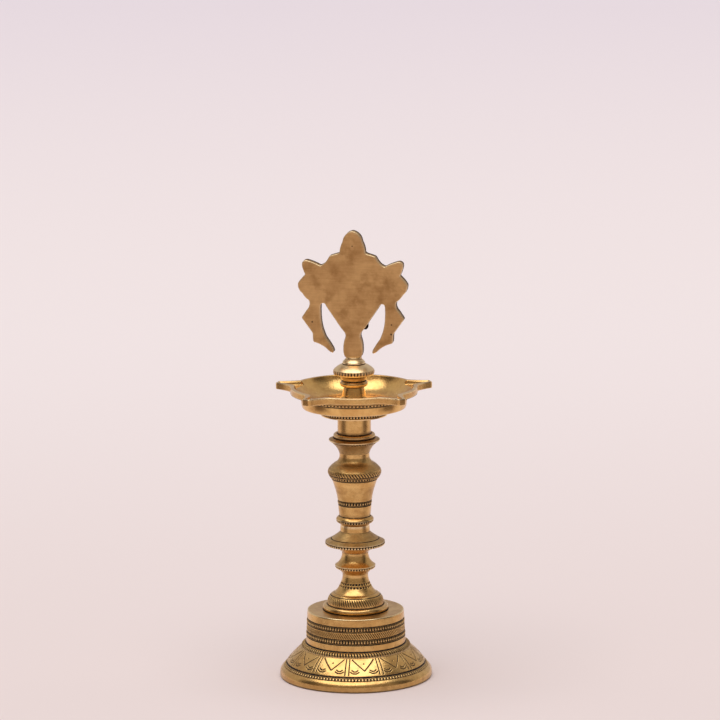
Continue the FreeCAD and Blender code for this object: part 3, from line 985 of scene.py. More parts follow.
class Effect:
    """A node group that several finishes share."""

    built: dict[str, bpy.types.NodeTree] = {}

    def __init__(self, name: str, inputs: Sequence[str], outputs: Sequence[str]) -> None:
        """Starts the group.

        Args:
            name: The group's name.
            inputs: Its inputs; one that ends in colour is a colour, the others numbers.
            outputs: Its outputs, named the same way.
        """
        self.tree = bpy.data.node_groups.new(name, "ShaderNodeTree")
        for names, way in ((inputs, "INPUT"), (outputs, "OUTPUT")):
            for each in names:
                kind = "NodeSocketColor" if each.endswith("colour") else "NodeSocketFloat"
                self.tree.interface.new_socket(name=each, in_out=way, socket_type=kind)
        self.graph = Graph(self.tree)
        self.inputs = self.graph.add("NodeGroupInput").outputs
        self.outputs = self.graph.add("NodeGroupOutput").inputs
        Effect.built[name] = self.tree

    @staticmethod
    def use(graph: Graph, name: str, inputs: dict[str, object]) -> bpy.types.NodeOutputs:
        """Places an effect in a material.

        Args:
            graph: The material's nodes.
            name: The effect's name.
            inputs: A value for each of its inputs.

        Returns:
            Its outputs.
        """
        node = graph.add("ShaderNodeGroup")
        node.node_tree = Effect.built[name]
        for label, value in inputs.items():
            graph.feed(node.inputs[label], value)
        return node.outputs


def build_alloy_tone() -> None:
    """Builds uneven tone: clouds with streaks of brushing, and brown patches."""
    effect = Effect("alloy tone", ("Bright colour", "Deep colour", "Brown colour", "Scale", "Browning",
                                   "Brushing"), ("Tone colour", "Brown"))
    graph, given = effect.graph, effect.inputs
    place, scale = graph.object_place(), given["Scale"]
    broad = graph.spread(graph.noise(place, scale, 4.0), 0.38, 0.64)
    fine = graph.spread(graph.noise(place, graph.times(scale, 5.3), 5.0), 0.36, 0.66)
    clouds = graph.math("ADD", graph.times(broad, 0.7), graph.times(fine, 0.3))
    flat = graph.add("ShaderNodeVectorMath", {0: place, 1: (0.07, 0.07, 1.0)}, operation="MULTIPLY")
    streaks = graph.math("SUBTRACT", graph.noise(flat.outputs[0], 900.0, 4.0), 0.5)
    clouds = graph.math("MULTIPLY_ADD", streaks, given["Brushing"], clouds, clamp=True)
    patches = graph.spread(graph.noise(place, graph.times(scale, 2.1), 6.0), 0.46, 0.72)
    brown = graph.times(patches, given["Browning"], clamp=True)
    metal = graph.blend(clouds, given["Deep colour"], given["Bright colour"])
    graph.feed(effect.outputs["Tone colour"], graph.blend(brown, metal, given["Brown colour"]))
    graph.feed(effect.outputs["Brown"], brown)


def build_grime_shade_wear_and_sheen() -> None:
    """Builds the darkening and the brightening that each point of a mesh carries, broken up by noise: grime
    with painted shade, and wear with painted sheen.
    """
    effect = Effect("grime and wear", ("Amount", "Scale"), ("Grime_shade", "Wear_sheen"))
    graph, given = effect.graph, effect.inputs
    broken = graph.spread(graph.noise(graph.object_place(), given["Scale"], 5.0), 0.34, 0.62, 0.78, 1.3)
    soil_and_shade, rub_and_sheen = (graph.add("ShaderNodeAttribute", attribute_name=name).outputs["Fac"]
                 for name in ("grime_and_shade", "wear_and_sheen"))
    graph.feed(effect.outputs["Grime_shade"], graph.times(graph.times(soil_and_shade, broken), given["Amount"], clamp=True))
    graph.feed(effect.outputs["Wear_sheen"], graph.times(rub_and_sheen, broken, clamp=True))


def build_turning_marks() -> None:
    """Builds the fine and broad rings that a lathe leaves, as a height."""
    effect = Effect("turning marks", ("Fineness",), ("Height",))
    graph, given = effect.graph, effect.inputs
    axes = graph.axes(graph.object_place())
    profile = graph.add("ShaderNodeCombineXYZ", {"X": graph.off_axis(axes), "Y": axes["Z"]}).outputs[0]
    marks = graph.noise(profile, given["Fineness"], 2.0)
    broad = graph.noise(profile, graph.times(given["Fineness"], 0.21), 2.0)
    graph.feed(effect.outputs["Height"], graph.math("ADD", marks, graph.times(broad, 0.8)))


def build_casting_skin() -> None:
    """Builds the grain and the scattered pits of a sand casting."""
    effect = Effect("casting skin", ("Grain", "Pit spacing"), ("Height", "Pits"))
    graph, given = effect.graph, effect.inputs
    place = graph.object_place()
    cells = graph.add("ShaderNodeTexVoronoi", {"Vector": place, "Scale": given["Pit spacing"]}).outputs
    some = graph.spread(graph.axes(cells["Color"])["X"], 0.72, 0.78)
    pits = graph.times(graph.spread(cells["Distance"], 0.16, 0.05), some, clamp=True)
    height = graph.math("SUBTRACT", graph.noise(place, given["Grain"], 4.0), pits)
    graph.feed(effect.outputs["Height"], height)
    graph.feed(effect.outputs["Pits"], pits)


@dataclass(frozen=True)
class Finish:
    """A finish that a piece can wear."""

    name: str

    def material(self) -> bpy.types.Material:
        """Gives the material, made once."""
        return bpy.data.materials.get(self.name) or self.build()

    def build(self) -> bpy.types.Material:
        """Makes the material."""
        raise NotImplementedError

    def start(self) -> tuple[bpy.types.Material, Graph, bpy.types.Node]:
        """Starts a material with an empty tree.

        Returns:
            The material, its graph and its main shader, joined to the output.
        """
        material = bpy.data.materials.new(self.name)
        material.use_nodes = True
        material.node_tree.nodes.clear()
        graph = Graph(material.node_tree)
        shader = graph.add("ShaderNodeBsdfPrincipled")
        graph.add("ShaderNodeOutputMaterial", {"Surface": shader.outputs[0]})
        return material, graph, shader


@dataclass(frozen=True)
class Metal(Finish):
    """Worn metal: uneven tone, grime and painted shade in its hollows, rubbed edges with painted
    highlights, tool marks and pits.
    """

    bright: Color = (0.80, 0.52, 0.20)
    deep: Color = (0.62, 0.36, 0.12)
    brown: Color = (0.34, 0.17, 0.055)
    browning: float = 0.45
    mottle: float = 70.0
    brushing: float = 0.0

    # The near black that grime and painted shade turn the metal towards.
    soil_and_shade: Color = (0.014, 0.009, 0.006)
    soiling: float = 1.0
    soil_grain: float = 900.0
    soil_roughness: float = 0.45
    soil_dullness: float = 0.6
    # The pale colour of worn edges and bead tops, also a painted highlight: it gives them a whiter glint.
    rubbed: Color = (0.94, 0.76, 0.46)
    rubbing: float = 0.75
    rub_gloss: float = 0.3

    roughness: float = 0.22
    unevenness: float = 0.16
    fineness: float = 5200.0
    turning: float = 0.25
    turning_depth: float = 0.00006
    grain: float = 1500.0
    pitting: float = 0.12
    pit_depth: float = 0.0003
    pit_spacing: float = 520.0

    def build(self) -> bpy.types.Material:
        """Makes the material.

        Returns:
            The material.
        """
        material, graph, shader = self.start()
        tone = Effect.use(graph, "alloy tone", {
            "Bright colour": self.bright, "Deep colour": self.deep, "Brown colour": self.brown,
            "Scale": self.mottle, "Browning": self.browning, "Brushing": self.brushing,
        })
        use = Effect.use(graph, "grime and wear", {"Amount": self.soiling, "Scale": self.soil_grain})
        skin = Effect.use(graph, "casting skin", {"Grain": self.grain, "Pit spacing": self.pit_spacing})
        marks = Effect.use(graph, "turning marks", {"Fineness": self.fineness})
        dark = graph.math("MAXIMUM", use["Grime_shade"], graph.times(skin["Pits"], min(1.0, 4.0 * self.pitting)))
        rub_and_sheen = graph.times(use["Wear_sheen"], graph.math("SUBTRACT", 1.0, dark), clamp=True)
        color = graph.blend(graph.times(rub_and_sheen, self.rubbing), tone["Tone colour"], self.rubbed)
        graph.feed(shader.inputs["Base Color"], graph.blend(dark, color, self.soil_and_shade))
        rough = graph.math("MULTIPLY_ADD", tone["Brown"], self.unevenness, self.roughness)
        rough = graph.math("MULTIPLY_ADD", rub_and_sheen, -self.rub_gloss * self.roughness, rough)
        rough = graph.math("MULTIPLY_ADD", dark, self.soil_roughness, rough, clamp=True)
        graph.feed(shader.inputs["Roughness"], rough)
        graph.feed(shader.inputs["Metallic"], graph.math("MULTIPLY_ADD", dark, -self.soil_dullness, 1.0))
        turned = graph.add("ShaderNodeBump", {"Strength": self.turning, "Distance": self.turning_depth,
                                          "Height": marks["Height"]})
        cast = graph.add("ShaderNodeBump", {"Strength": self.pitting, "Distance": self.pit_depth,
                                        "Height": skin["Height"], "Normal": turned.outputs[0]})
        graph.feed(shader.inputs["Normal"], cast.outputs[0])
        return material


@dataclass(frozen=True)
class Plain(Finish):
    """A matt studio surface."""

    near: Color = (0.815, 0.715, 0.715)
    middle: Color = (0.875, 0.80, 0.82)
    far: Color = (0.775, 0.705, 0.785)
    # The dark colour that the floor's sides show to glossy rays only: painted shade, seen only in the
    # metal's reflections.
    side: Color = (0.09, 0.06, 0.05)
    roughness: float = 0.9
    specular: float = 0.1

    @staticmethod
    def shaded_sides(graph: Graph, place: bpy.types.NodeSocket) -> bpy.types.NodeSocket:
        """Gives where polished metal sees the floor's sides, which are painted dark for glossy rays only:
        painted shade in the metal's reflections.

        Args:
            graph: The material's nodes.
            place: The place on the floor.

        Returns:
            The share of shade.
        """
        axes = graph.axes(place)
        off_strip = graph.math("ABSOLUTE", graph.math("SUBTRACT", graph.frontness(axes), 0.18))
        far_out = graph.spread(graph.off_axis(axes), 0.22, 0.5)
        seen = graph.times(graph.spread(off_strip, 0.46, 0.16), far_out)
        glossy = graph.add("ShaderNodeLightPath").outputs["Is Glossy Ray"]
        return graph.times(graph.times(seen, glossy), 0.85)

    def build(self) -> bpy.types.Material:
        """Makes the material, warmer near by and cooler far behind, and lighter in between: painted light,
        falling off across the floor.

        Returns:
            The material.
        """
        material, graph, shader = self.start()
        place = graph.object_place()
        behind = graph.axes(place)["Y"]
        shade = graph.blend(graph.spread(behind, -0.1, 1.3), self.near, self.middle)
        shade = graph.blend(graph.spread(behind, 1.3, 4.6), shade, self.far)
        shade = graph.blend(self.shaded_sides(graph, place), shade, self.side)
        graph.feed(shader.inputs["Base Color"], shade)
        graph.feed(shader.inputs["Roughness"], self.roughness)
        graph.feed(shader.inputs["Specular IOR Level"], self.specular)
        return material


FOOT_BRASS = Metal("foot brass", mottle=55.0, roughness=0.24, brushing=0.9)
TURNED_BRASS = Metal("turned brass", mottle=80.0, roughness=0.24, brushing=0.5)
# The knob's brass is paler and rougher than the turned brass: worn by handling, together with a painted
# highlight that makes its dome and collar bright.
KNOB_BRASS_WORN_AND_PAINTED_BRIGHT = Metal("knob brass worn and painted bright", bright=(0.90, 0.66, 0.36), deep=(0.76, 0.50, 0.24), browning=0.3,
                   mottle=80.0, roughness=0.36, unevenness=0.1)
DISH_BRASS = Metal("dish brass", bright=(0.87, 0.555, 0.20), deep=(0.70, 0.40, 0.135), browning=0.3,
                   roughness=0.20, turning=0.5)
PLAQUE_BRASS = Metal("plaque brass", bright=(0.68, 0.42, 0.18), deep=(0.52, 0.30, 0.12), browning=0.6,
                     mottle=44.0, brushing=1.3, roughness=0.40, turning=0.0, pitting=0.35,
                     pit_spacing=190.0)
STEEL = Metal("plain steel", bright=(0.56, 0.55, 0.53), deep=(0.44, 0.43, 0.41), brown=(0.26, 0.20, 0.15),
              browning=0.2, rubbed=(0.72, 0.71, 0.69), roughness=0.32, turning=0.3)
FLOOR_PAINT = Plain("floor paint")


# Sub-assemblies


@dataclass
class Foot:
    """The hollow foot: lip, engraved skirt, rope ring and drum."""

    radius: float = 51.3
    wall: float = 3.4
    skirt_top: float = 20.5
    skirt_top_radius: float = 36.9
    drum_foot_radius: float = 33.7
    drum_top_radius: float = 32.6
    plate: float = 3.6
    bore: float = 5.06
    beads: int = 104

    @property
    def inner_foot(self) -> float:
        """The radius of the hollow at the foot of the drum."""
        return self.drum_foot_radius - self.wall

    def skirt(self) -> None:
        """Builds the lip and the engraved skirt."""
        inner = self.radius - self.wall
        outline = Outline(inner, 0.0, [
            # The foot's underside and the lip's lower faces are darkened: painted shade where the foot
            # meets the floor and under the lip, together with patina.
            Stretch(50.4, edge=0.2, tarnish_and_shade=0.6),
            Stretch(self.radius, 0.9, tarnish_and_shade=0.45),
            Stretch(self.radius, 2.2, edge=0.6, tarnish_and_shade=0.14),
            Stretch(48.9, 4.1, 0.13),
            Stretch(46.5, 3.4, bands=(
                Beads(0.1, 2.35, 136, 0.45, samples=10, fill=0.84, tall=1.0), Groove(2.5, 3.95, depth=0.5),
            )),
            Stretch(self.skirt_top_radius, 9.9, 0.03, bands=(
                Panels(0.35, 13.2, depth=0.42, phase=-0.24), Groove(13.35, 13.79, depth=0.1),
            )),
            Stretch(self.inner_foot, edge=0.0),
            Stretch(inner, -17.4, bands=(Casting(1.0, 23.0, depth=0.08),)),
            Stretch(inner, -3.1, edge=0.0),
        ])
        turned_skin(outline).piece("base_skirt", FOOT_BRASS, Slot.FOOT, Body.BASE, "base")

    def drum(self) -> None:
        """Builds the rope ring, the banded drum and its plate."""
        outline = Outline(self.inner_foot, self.skirt_top, [
            Stretch(self.skirt_top_radius, edge=0.0),
            Stretch(34.0, 2.8, 0.24, tarnish_and_shade=0.22, bands=(
                Lobes(0.2, 4.4, 116, 0.9, lean=0.4, samples=10, dark=0.06),
            )),
            Stretch(self.drum_foot_radius, 0.3),
            Stretch(self.drum_top_radius, 21.7, bands=(
                Groove(0.0, 0.7, depth=0.25),
                Groove(4.3, 5.2, depth=0.3),
                Beads(5.2, 8.0, self.beads, 0.6, fill=0.72),
                Groove(8.0, 8.8, depth=0.3),
                Strokes(8.8, 13.0, 132, 0.6, lean=1.9, width=0.52),
                Groove(13.0, 13.8, depth=0.3),
                Beads(13.8, 16.4, self.beads, 0.6, fill=0.72),
                Groove(16.4, 17.3, depth=0.3),
            ), edge=0.4),
            Stretch(31.9, 0.7, 0.20, edge=0.4),
            Stretch(self.bore, bands=(Groove(9.5, 10.9, depth=0.12),), tarnish_and_shade=0.1),
            Stretch(self.bore, -self.plate),
            Stretch(29.2, bands=(Casting(1.0, 23.0, depth=0.06),), edge=0.8),
            Stretch(self.inner_foot, -21.9, bands=(Casting(1.0, 20.0, depth=0.08),), edge=0.0),
        ])
        turned_skin(outline).piece("base_drum", FOOT_BRASS, Slot.FOOT, Body.BASE, "base")


@dataclass
class Stem:
    """The two turned pieces of the stem."""

    foot: float = 46.0
    joint: float = 104.6
    spigot: float = 12.9
    lower_hole: float = 4.06
    upper_hole: float = 3.06

    def lower(self) -> None:
        """Builds the lower stem, from its threaded spigot up to the joint."""
        outline = Outline(0.0, self.foot - self.spigot, [
            Stretch(4.2),
            Stretch(5.0, 0.8),
            Stretch(5.0, 12.1, bands=(Thread(0.2, 9.2, depth=0.6, pitch=1.5),)),
            Stretch(21.2),
            Stretch(20.3, 3.7, 0.36, bands=(Groove(0.1, 0.9, depth=0.12),), edge=0.15),
            Stretch(19.0),
            Stretch(19.0, 0.9),
            Stretch(14.8, 7.0, 0.16, bands=(
                Strokes(0.35, 5.5, 68, 0.65, lean=1.2, width=0.5), Groove(5.9, 6.7, depth=0.25),
            ), edge=0.2),
            Stretch(14.3),
            Stretch(8.6, 11.3, -0.08, bands=(
                Punches(5.0, 9.5, 30, 0.55, samples=20, lines=2, size=0.92, lean=0.3),
            )),
            Stretch(8.6, 1.8, edge=0.2),
            # The tarnish on the flaring undersides and on the disc's rim and top darkens them: painted
            # shade under ledges and on the disc, together with brown patina.
            Stretch(12.0, 3.6, -0.07, edge=0.2, tarnish_and_shade=0.12),
            Stretch(13.6, 1.9, bands=(
                Beads(0.0, 2.45, 44, 0.75, samples=14, proud=0.35, fill=0.76, tall=0.95),
            ), edge=0.2),
            Stretch(13.7, 0.6, edge=0.2, tarnish_and_shade=0.2),
            Stretch(8.9, 7.9, -0.13),
            Stretch(8.9, 0.9, edge=0.2),
            Stretch(18.4, 4.9, -0.10, edge=0.2, tarnish_and_shade=0.05),
            Stretch(20.0, 2.2, 0.06, bands=(
                Beads(0.0, 2.68, 60, 0.8, samples=14, proud=0.45, fill=0.76, tall=0.95),
            ), edge=0.2),
            Stretch(20.1, 0.4, edge=0.2, tarnish_and_shade=0.3),
            Stretch(10.0, 6.7, -0.04, tarnish_and_shade=0.26, bands=(Groove(4.0, 4.8, depth=0.2),)),
            Stretch(9.8, 4.8, edge=0.15),
            Stretch(self.lower_hole, edge=0.2),
            Stretch(self.lower_hole, -12.6),
            Stretch(0.0),
        ])
        skin = turned_skin(outline, closed=False)
        skin.piece("lower_stem_turned", TURNED_BRASS, Slot.TURNED, Body.BASE, "lower_stem")

    def upper(self) -> None:
        """Builds the upper stem: small ring, vase, flange, torus and neck."""
        outline = Outline(0.0, self.joint + 12.6, [
            Stretch(self.lower_hole),
            Stretch(self.lower_hole, -12.6, edge=0.2),
            Stretch(9.8, edge=0.15),
            Stretch(10.2, 0.6, edge=0.2),
            Stretch(12.8, 3.0, 0.03, bands=(
                Beads(0.9, 3.95, 40, 0.8, samples=12, proud=0.2, fill=0.7),
            ), edge=0.2),
            Stretch(10.5, 2.4, 0.12),
            Stretch(11.6, 11.5, bands=(
                Groove(7.5, 8.4, depth=0.3), Beads(8.4, 10.7, 36, 0.55, samples=12, fill=0.7),
                Groove(10.7, 11.4, depth=0.3),
            )),
            # The tarnish on the vase's shoulder, the flaring underside of the flange and the flange's top
            # darkens them: painted shade under ledges and in hollows, together with brown patina.
            Stretch(14.0, 9.8, -0.03, tarnish_and_shade=0.08),
            Stretch(17.3, 6.7, -0.06, bands=(
                Groove(4.2, 5.1, depth=0.3), Beads(5.1, 7.35, 52, 0.6, samples=12, fill=0.7),
            )),
            Stretch(17.7, 4.2, 0.12, bands=(
                Groove(0.1, 1.1, depth=0.3), Strokes(1.0, 4.15, 54, 0.7, lean=1.0),
            )),
            Stretch(13.6, 4.0, 0.04, tarnish_and_shade=0.26),
            Stretch(10.1, 4.6, -0.13, tarnish_and_shade=0.15),
            Stretch(10.1, 2.4, edge=0.2),
            Stretch(17.2, 8.7, -0.10, tarnish_and_shade=0.34, bands=(Strokes(8.4, 11.2, 52, 0.5),), edge=0.2),
            Stretch(17.2, 0.7, edge=0.3),
            Stretch(13.4, 1.3, bands=(Groove(3.1, 3.9, depth=0.25),), edge=0.15, tarnish_and_shade=0.35),
            Stretch(13.2, 2.7, 0.30, edge=0.15, tarnish_and_shade=0.12),
            Stretch(11.2),
            Stretch(11.2, 12.8),
            Stretch(self.upper_hole),
            Stretch(self.upper_hole, -14.6),
            Stretch(0.0),
        ])
        skin = turned_skin(outline, closed=False)
        skin.piece("upper_stem_turned", TURNED_BRASS, Slot.TURNED, Body.STEM, "upper_stem")


@dataclass
class Dish:
    """The oil dish: a bowl and five beaks with open troughs, and its turned underside.

    The place of a ring of the top is its share of the way from the land's inner edge to
    the outer edge of the rim and beaks. In the bowl it is below 0, and -1 lies one
    bowl_scale inside the land.

    Attributes:
        seam: The radii and heights where the top and the underside meet inside.
        seam_foot: The height where they meet the bore.
        rim_shares: The places of the rings across the land.
        wall_foot: How far inside the trough's outline the foot of its wall lies.
        wall_top: How far outside it the top of its wall lies.
        land_rest: How far rings with troughs stay inside the outer edge.
    """

    foot: float = 180.0
    bore: float = 3.3
    floor: float = 188.4
    floor_radius: float = 26.0
    land_radius: float = 40.2
    rim_radius: float = 42.7
    flare_radius: float = 42.3
    rim_low: float = 194.8
    rim_top: float = 199.2
    bowl_scale: float = 10.0

    spouts: int = 5
    spout_turn: float = 18.0
    root: float = 41.45
    root_half: float = 10.0
    tip: float = 54.5
    tip_half: float = 2.8
    side_bow: float = 0.05
    tip_bluntness: float = 1.8

    trough_depth: float = 2.7
    trough_wall: float = 1.5
    trough_end: float = 2.0
    trough_root: float = 37.2
    trough_grime: float = 0.16
    wall_foot: float = 0.35
    wall_top: float = 0.25
    land_rest: float = 0.52

    hub_top: float = 199.5
    hub_radius: float = 6.6
    hub_foot_radius: float = 8.5
    hub_foot: float = 192.3
    fillet_radius: float = 9.35

    rim_round: float = 0.5
    underside_round: float = 0.4
    seam: tuple[tuple[float, float], ...] = (
        (40.8, 194.72), (37.6, 194.0), (34.6, 190.6), (33.0, 188.3), (25.0, 186.6),
    )
    seam_foot: float = 186.6
    rim_shares: tuple[float, ...] = (
        0.06, 0.12, 0.2, 0.3, 0.4, 0.5, 0.6, 0.68, 0.75, 0.80, 0.84, 0.858, 0.864, 0.90, 0.94,
    )

    @property
    def root_angle(self) -> float:
        """The angle between a beak's middle and the side of its root."""
        return math.atan2(self.root_half, self.root)

    def half_width(self, reach: Array, trough: bool) -> Array:
        """Gives half the width of a beak, or of its trough, across its middle line.

        Args:
            reach: How far out it is measured.
            trough: Whether the trough is meant.

        Returns:
            The half width.
        """
        start, end = (self.trough_root, self.tip - self.trough_end) if trough else (self.root, self.tip)
        less = self.trough_wall if trough else 0.0
        share = np.clip((np.asarray(reach) - start) / (end - start), 0.0, 1.0)
        straight = self.root_half + (self.tip_half - self.root_half) * share - less
        chord = math.hypot(end - start, self.root_half - self.tip_half)
        return straight - 4.4 * share * (1.0 - share) * self.side_bow * chord

    def edge_radius(self, angle: Array) -> Array:
        """Gives how far the rim or a beak reaches.

        Args:
            angle: The angles from the beak's middle.

        Returns:
            The radius at each angle, with the beak's corners rounded.
        """
        reach = np.linspace(self.root, self.tip, 400)
        width = self.half_width(reach, trough=False)
        slopes = np.arctan2(width, reach)[::-1]
        radii = np.hypot(reach, width)[::-1]
        angle = np.abs(angle)
        fall = (radii[1] - radii[0]) / (slopes[1] - slopes[0])
        beyond = radii[0] + (angle - slopes[0]) * fall
        side = np.where(angle < slopes[0], beyond, np.interp(angle, slopes, radii))
        end = self.tip / np.cos(angle)
        beak = -np.logaddexp(-self.tip_bluntness * side, -self.tip_bluntness * end) / self.tip_bluntness
        return np.maximum(np.where(angle > slopes[-1], self.rim_radius, beak), self.rim_radius)

    def wall_angle(self, share: float, grown: float) -> float:
        """Finds where a ring of the rim crosses the trough's wall.

        Args:
            share: The ring's place, from the land's inner edge at 0 to the outer edge at 1.
            grown: How far the wall is moved outwards.

        Returns:
            The angle from the beak's middle.
        """
        angles = np.linspace(0.0, self.root_angle - 0.02, 1500)
        radii = self.land_radius + max(share, 0.0) * (self.edge_radius(angles) - self.land_radius)
        radii = radii + min(share, 0.0) * self.bowl_scale
        inside = radii * np.sin(angles) < self.half_width(radii * np.cos(angles), trough=True) + grown
        if not inside[0]:
            return 0.0
        return float(angles[-1] if inside.all() else angles[np.argmin(inside)])

    def columns(self, share: float) -> tuple[Array, Array]:
        """Spaces the points of one ring so that some lie on the trough's wall.

        Args:
            share: The ring's place; below 0 it lies in the bowl.

        Returns:
            The angles from each beak's middle over half a sector, and how deep the trough is there.
        """
        end_share = (self.tip - self.trough_end - self.land_radius) / (self.tip - self.land_radius)
        held = min(share, end_share - 0.01)
        low, high = self.wall_angle(held, -self.wall_foot), self.wall_angle(held, self.wall_top)
        kink = max(math.atan2(self.tip_half, self.tip) - 0.01, high + 0.004)
        floor, wall = np.linspace(0.0, low, 7), ((low + high) / 2.0, high, high + 0.0025)
        beside = np.sort(np.concatenate([
            np.linspace(kink, kink + 0.0191, 3),
            np.linspace(kink, self.root_angle, 9)[1:],
            np.linspace(self.root_angle, math.pi / self.spouts, 15)[1:],
        ]))
        depth = np.concatenate([np.ones(len(floor)), (0.5, 0.0, 0.0), np.zeros(len(beside))])
        if share > end_share + 0.004:
            depth *= 0.0
        elif share > end_share - 0.006:
            depth *= 0.5
        return np.concatenate([floor, wall, beside]), depth

    def directions(self, half_angles: Array) -> Array:
        """Gives the direction of every column of a ring.

        Args:
            half_angles: The angles of the columns of half a sector.

        Returns:
            The columns' angles from +X.
        """
        middles = math.radians(self.spout_turn) + np.arange(self.spouts) * TURN / self.spouts
        local = np.concatenate([-half_angles[:0:-1], half_angles[:-1]])
        return (middles[:, None] + local).ravel()

    def all_round(self, half: Array) -> Array:
        """Repeats the values of half a sector for every column of a ring.

        Args:
            half: A value for each column of half a sector.

        Returns:
            A value for each column.
        """
        return np.tile(np.concatenate([half[:0:-1], half[:-1]]), self.spouts)

    def bowl_height(self, radius: float) -> float:
        """Gives the height of the bowl's hollow wall.

        Args:
            radius: The radius where it is measured.

        Returns:
            The height.
        """
        start = np.array((self.land_radius, self.rim_top))
        end = np.array((self.floor_radius, self.floor))
        places = np.array([bowed_point(start, end, -0.12, share) for share in np.linspace(0.0, 1.0, 60)])
        return float(np.interp(radius, places[::-1, 0], places[::-1, 1]))

    def ring(self, skin: Skin, share: float, height: float, inset: float = 0.0, grime_and_shade: float = 0.0,
             wear_and_sheen: float = 0.0, cut: bool = False) -> Array:
        """Adds one ring of the rim and beaks.

        Args:
            skin: The skin to add to.
            share: The ring's place between the land's inner and outer edge.
            height: Its height.
            inset: How far it lies inside its place.
            grime_and_shade: Its darkening: grime together with painted shade.
            wear_and_sheen: How far it is made bright: wear together with painted sheen.
            cut: Whether the troughs are cut into it.

        Returns:
            The numbers of its points.
        """
        half_angles, half_depth = self.columns(share)
        depth = self.all_round(half_depth)
        if share >= 0.0:
            start = self.land_radius if height > self.rim_low + 1.0 else self.flare_radius
            half_edge = self.edge_radius(half_angles)
            radius = start + share * (half_edge - start) - inset
            if cut:
                radius = np.minimum(radius, half_edge - self.land_rest - 0.3 * (1.0 - share))
        else:
            radius = np.full_like(half_angles, self.land_radius + share * self.bowl_scale)
        level = np.full_like(depth, height)
        trough = self.rim_top - self.trough_depth
        if cut:
            level = np.where(level > trough, level - depth * (level - trough), level)
        bottom = (depth > 0.0) & (level < height - 0.2) & (share > 0.0)
        dirt_and_shade = np.maximum(grime_and_shade, np.where(bottom, self.trough_grime, 0.0))
        return skin.ring(self.directions(half_angles), self.all_round(radius), level, dirt_and_shade, wear_and_sheen)

    def top(self) -> None:
        """Builds the hub, the bowl, the rim and the beaks."""
        skin = Skin()
        rings = []
        for radius, height, soil_and_shade in self.hub_rows():
            share = (radius - self.land_radius) / self.bowl_scale
            rings.append(self.ring(skin, share, height, grime_and_shade=soil_and_shade, cut=radius > self.floor_radius))
        for share in self.rim_shares:
            rings.append(self.ring(skin, share, self.rim_top, cut=True))
        for turned in np.linspace(0.0, math.pi / 2.0, 5):
            inset = self.rim_round * (1.0 - math.sin(turned))
            drop = self.rim_round * (1.0 - math.cos(turned))
            rings.append(self.ring(skin, 1.0, self.rim_top - drop, inset, wear_and_sheen=0.7))
        for height in np.linspace(self.rim_top - 0.9, self.rim_low + 0.9, 4):
            rings.append(self.ring(skin, 1.0, height, grime_and_shade=0.12))
        for turned in np.linspace(0.0, math.pi / 2.0, 4):
            inset = self.underside_round * (1.0 - math.cos(turned))
            rise = self.underside_round * (1.0 - math.sin(turned))
            rings.append(self.ring(skin, 1.0, self.rim_low + rise, inset, wear_and_sheen=0.3))
        # The flat under the rim is darkened towards the rim's edge: painted shade under the rim, together
        # with grime.
        for share in (0.85, 0.6, 0.35):
            rings.append(self.ring(skin, share, self.rim_low, grime_and_shade=0.1 * share))
        inward = ((self.flare_radius - 0.3, self.rim_low), *self.seam)
        circle = self.directions(self.columns(0.5)[0])
        for radius, height in (*inward, (self.bore, self.seam_foot), (self.bore, self.hub_top)):
            rings.append(skin.ring(circle, radius, height, 0.0, 0.0))
        for below, above in zip(rings, rings[1:] + rings[:1]):
            skin.bridge(above, below)
        skin.piece("dish_bowl", DISH_BRASS, Slot.DISH, Body.DISH, "dish")

    def hub_rows(self) -> list[tuple[float, float, float]]:
        """Lays out the rings from the bore to the rim's land.

        Returns:
            The radius, height and darkening of each ring: grime together with painted shade.
        """
        top, cone = self.hub_top, self.hub_foot_radius - self.hub_radius
        # The hub's top under the ring, the fillet's corner and the floor beside it are darkened: painted
        # shade between the parts and in the corner, together with grime.
        rows = [(self.bore, top, 0.9), (6.3, top, 0.9), (6.55, top - 0.08, 0.8), (6.65, top - 0.3, 0.5)]
        for height in np.linspace(top - 0.9, self.hub_foot + 0.2, 8):
            rows.append((self.hub_radius + cone * (top - height) / (top - self.hub_foot), height, 0.05))
        start = np.array((self.hub_foot_radius, self.hub_foot))
        end = np.array((self.fillet_radius, self.floor))
        for share in np.linspace(0.05, 1.0, 8):
            radius, height = bowed_point(start, end, -0.18, share)
            rows.append((radius, height + 0.05, 0.55 * float(smooth_step(share, 0.3, 0.95))))
        for radius in np.linspace(10.0, 25.4, 14):
            rows.append((radius, self.floor, 0.35 * float(smooth_step(radius, 13.0, 9.6))))
        for radius in (*np.linspace(26.2, 38.2, 16), *np.linspace(38.5, 40.05, 7)):
            rows.append((radius, self.bowl_height(radius), 0.0))
        rows.append((self.land_radius, self.rim_top - 0.03, 0.0))
        return rows

    def underside(self) -> None:
        """Builds the boss, the pan and the flare under the rim."""
        seam = ((0.0, self.rim_low), *self.seam, (self.bore, self.seam_foot))
        inward = [
            Stretch(radius, height - last, edge=0.0)
            for (_, last), (radius, height) in zip(seam, seam[1:])
        ]
        outline = Outline(self.bore, self.foot, [
            Stretch(22.6),
            Stretch(22.6, 3.4, bands=(Beads(0.9, 3.3, 68, 0.6, samples=12, fill=0.72),)),
            Stretch(34.3, 1.8, edge=0.2),
            Stretch(34.8, 0.5, 0.20, edge=0.15),
            Stretch(35.6, 5.6, 0.05, edge=0.2),
            Stretch(38.3, 2.4, 0.10, bands=(
                Groove(0.2, 0.95, depth=0.3), Beads(0.95, 3.2, 96, 0.65, samples=12, fill=0.7),
            ), edge=0.2),
            Stretch(self.flare_radius, 1.1, edge=0.2),
            *inward,
            Stretch(self.bore, self.foot - self.seam_foot, edge=0.0),
        ])
        turned_skin(outline).piece("dish_pan", DISH_BRASS, Slot.DISH, Body.DISH, "dish")

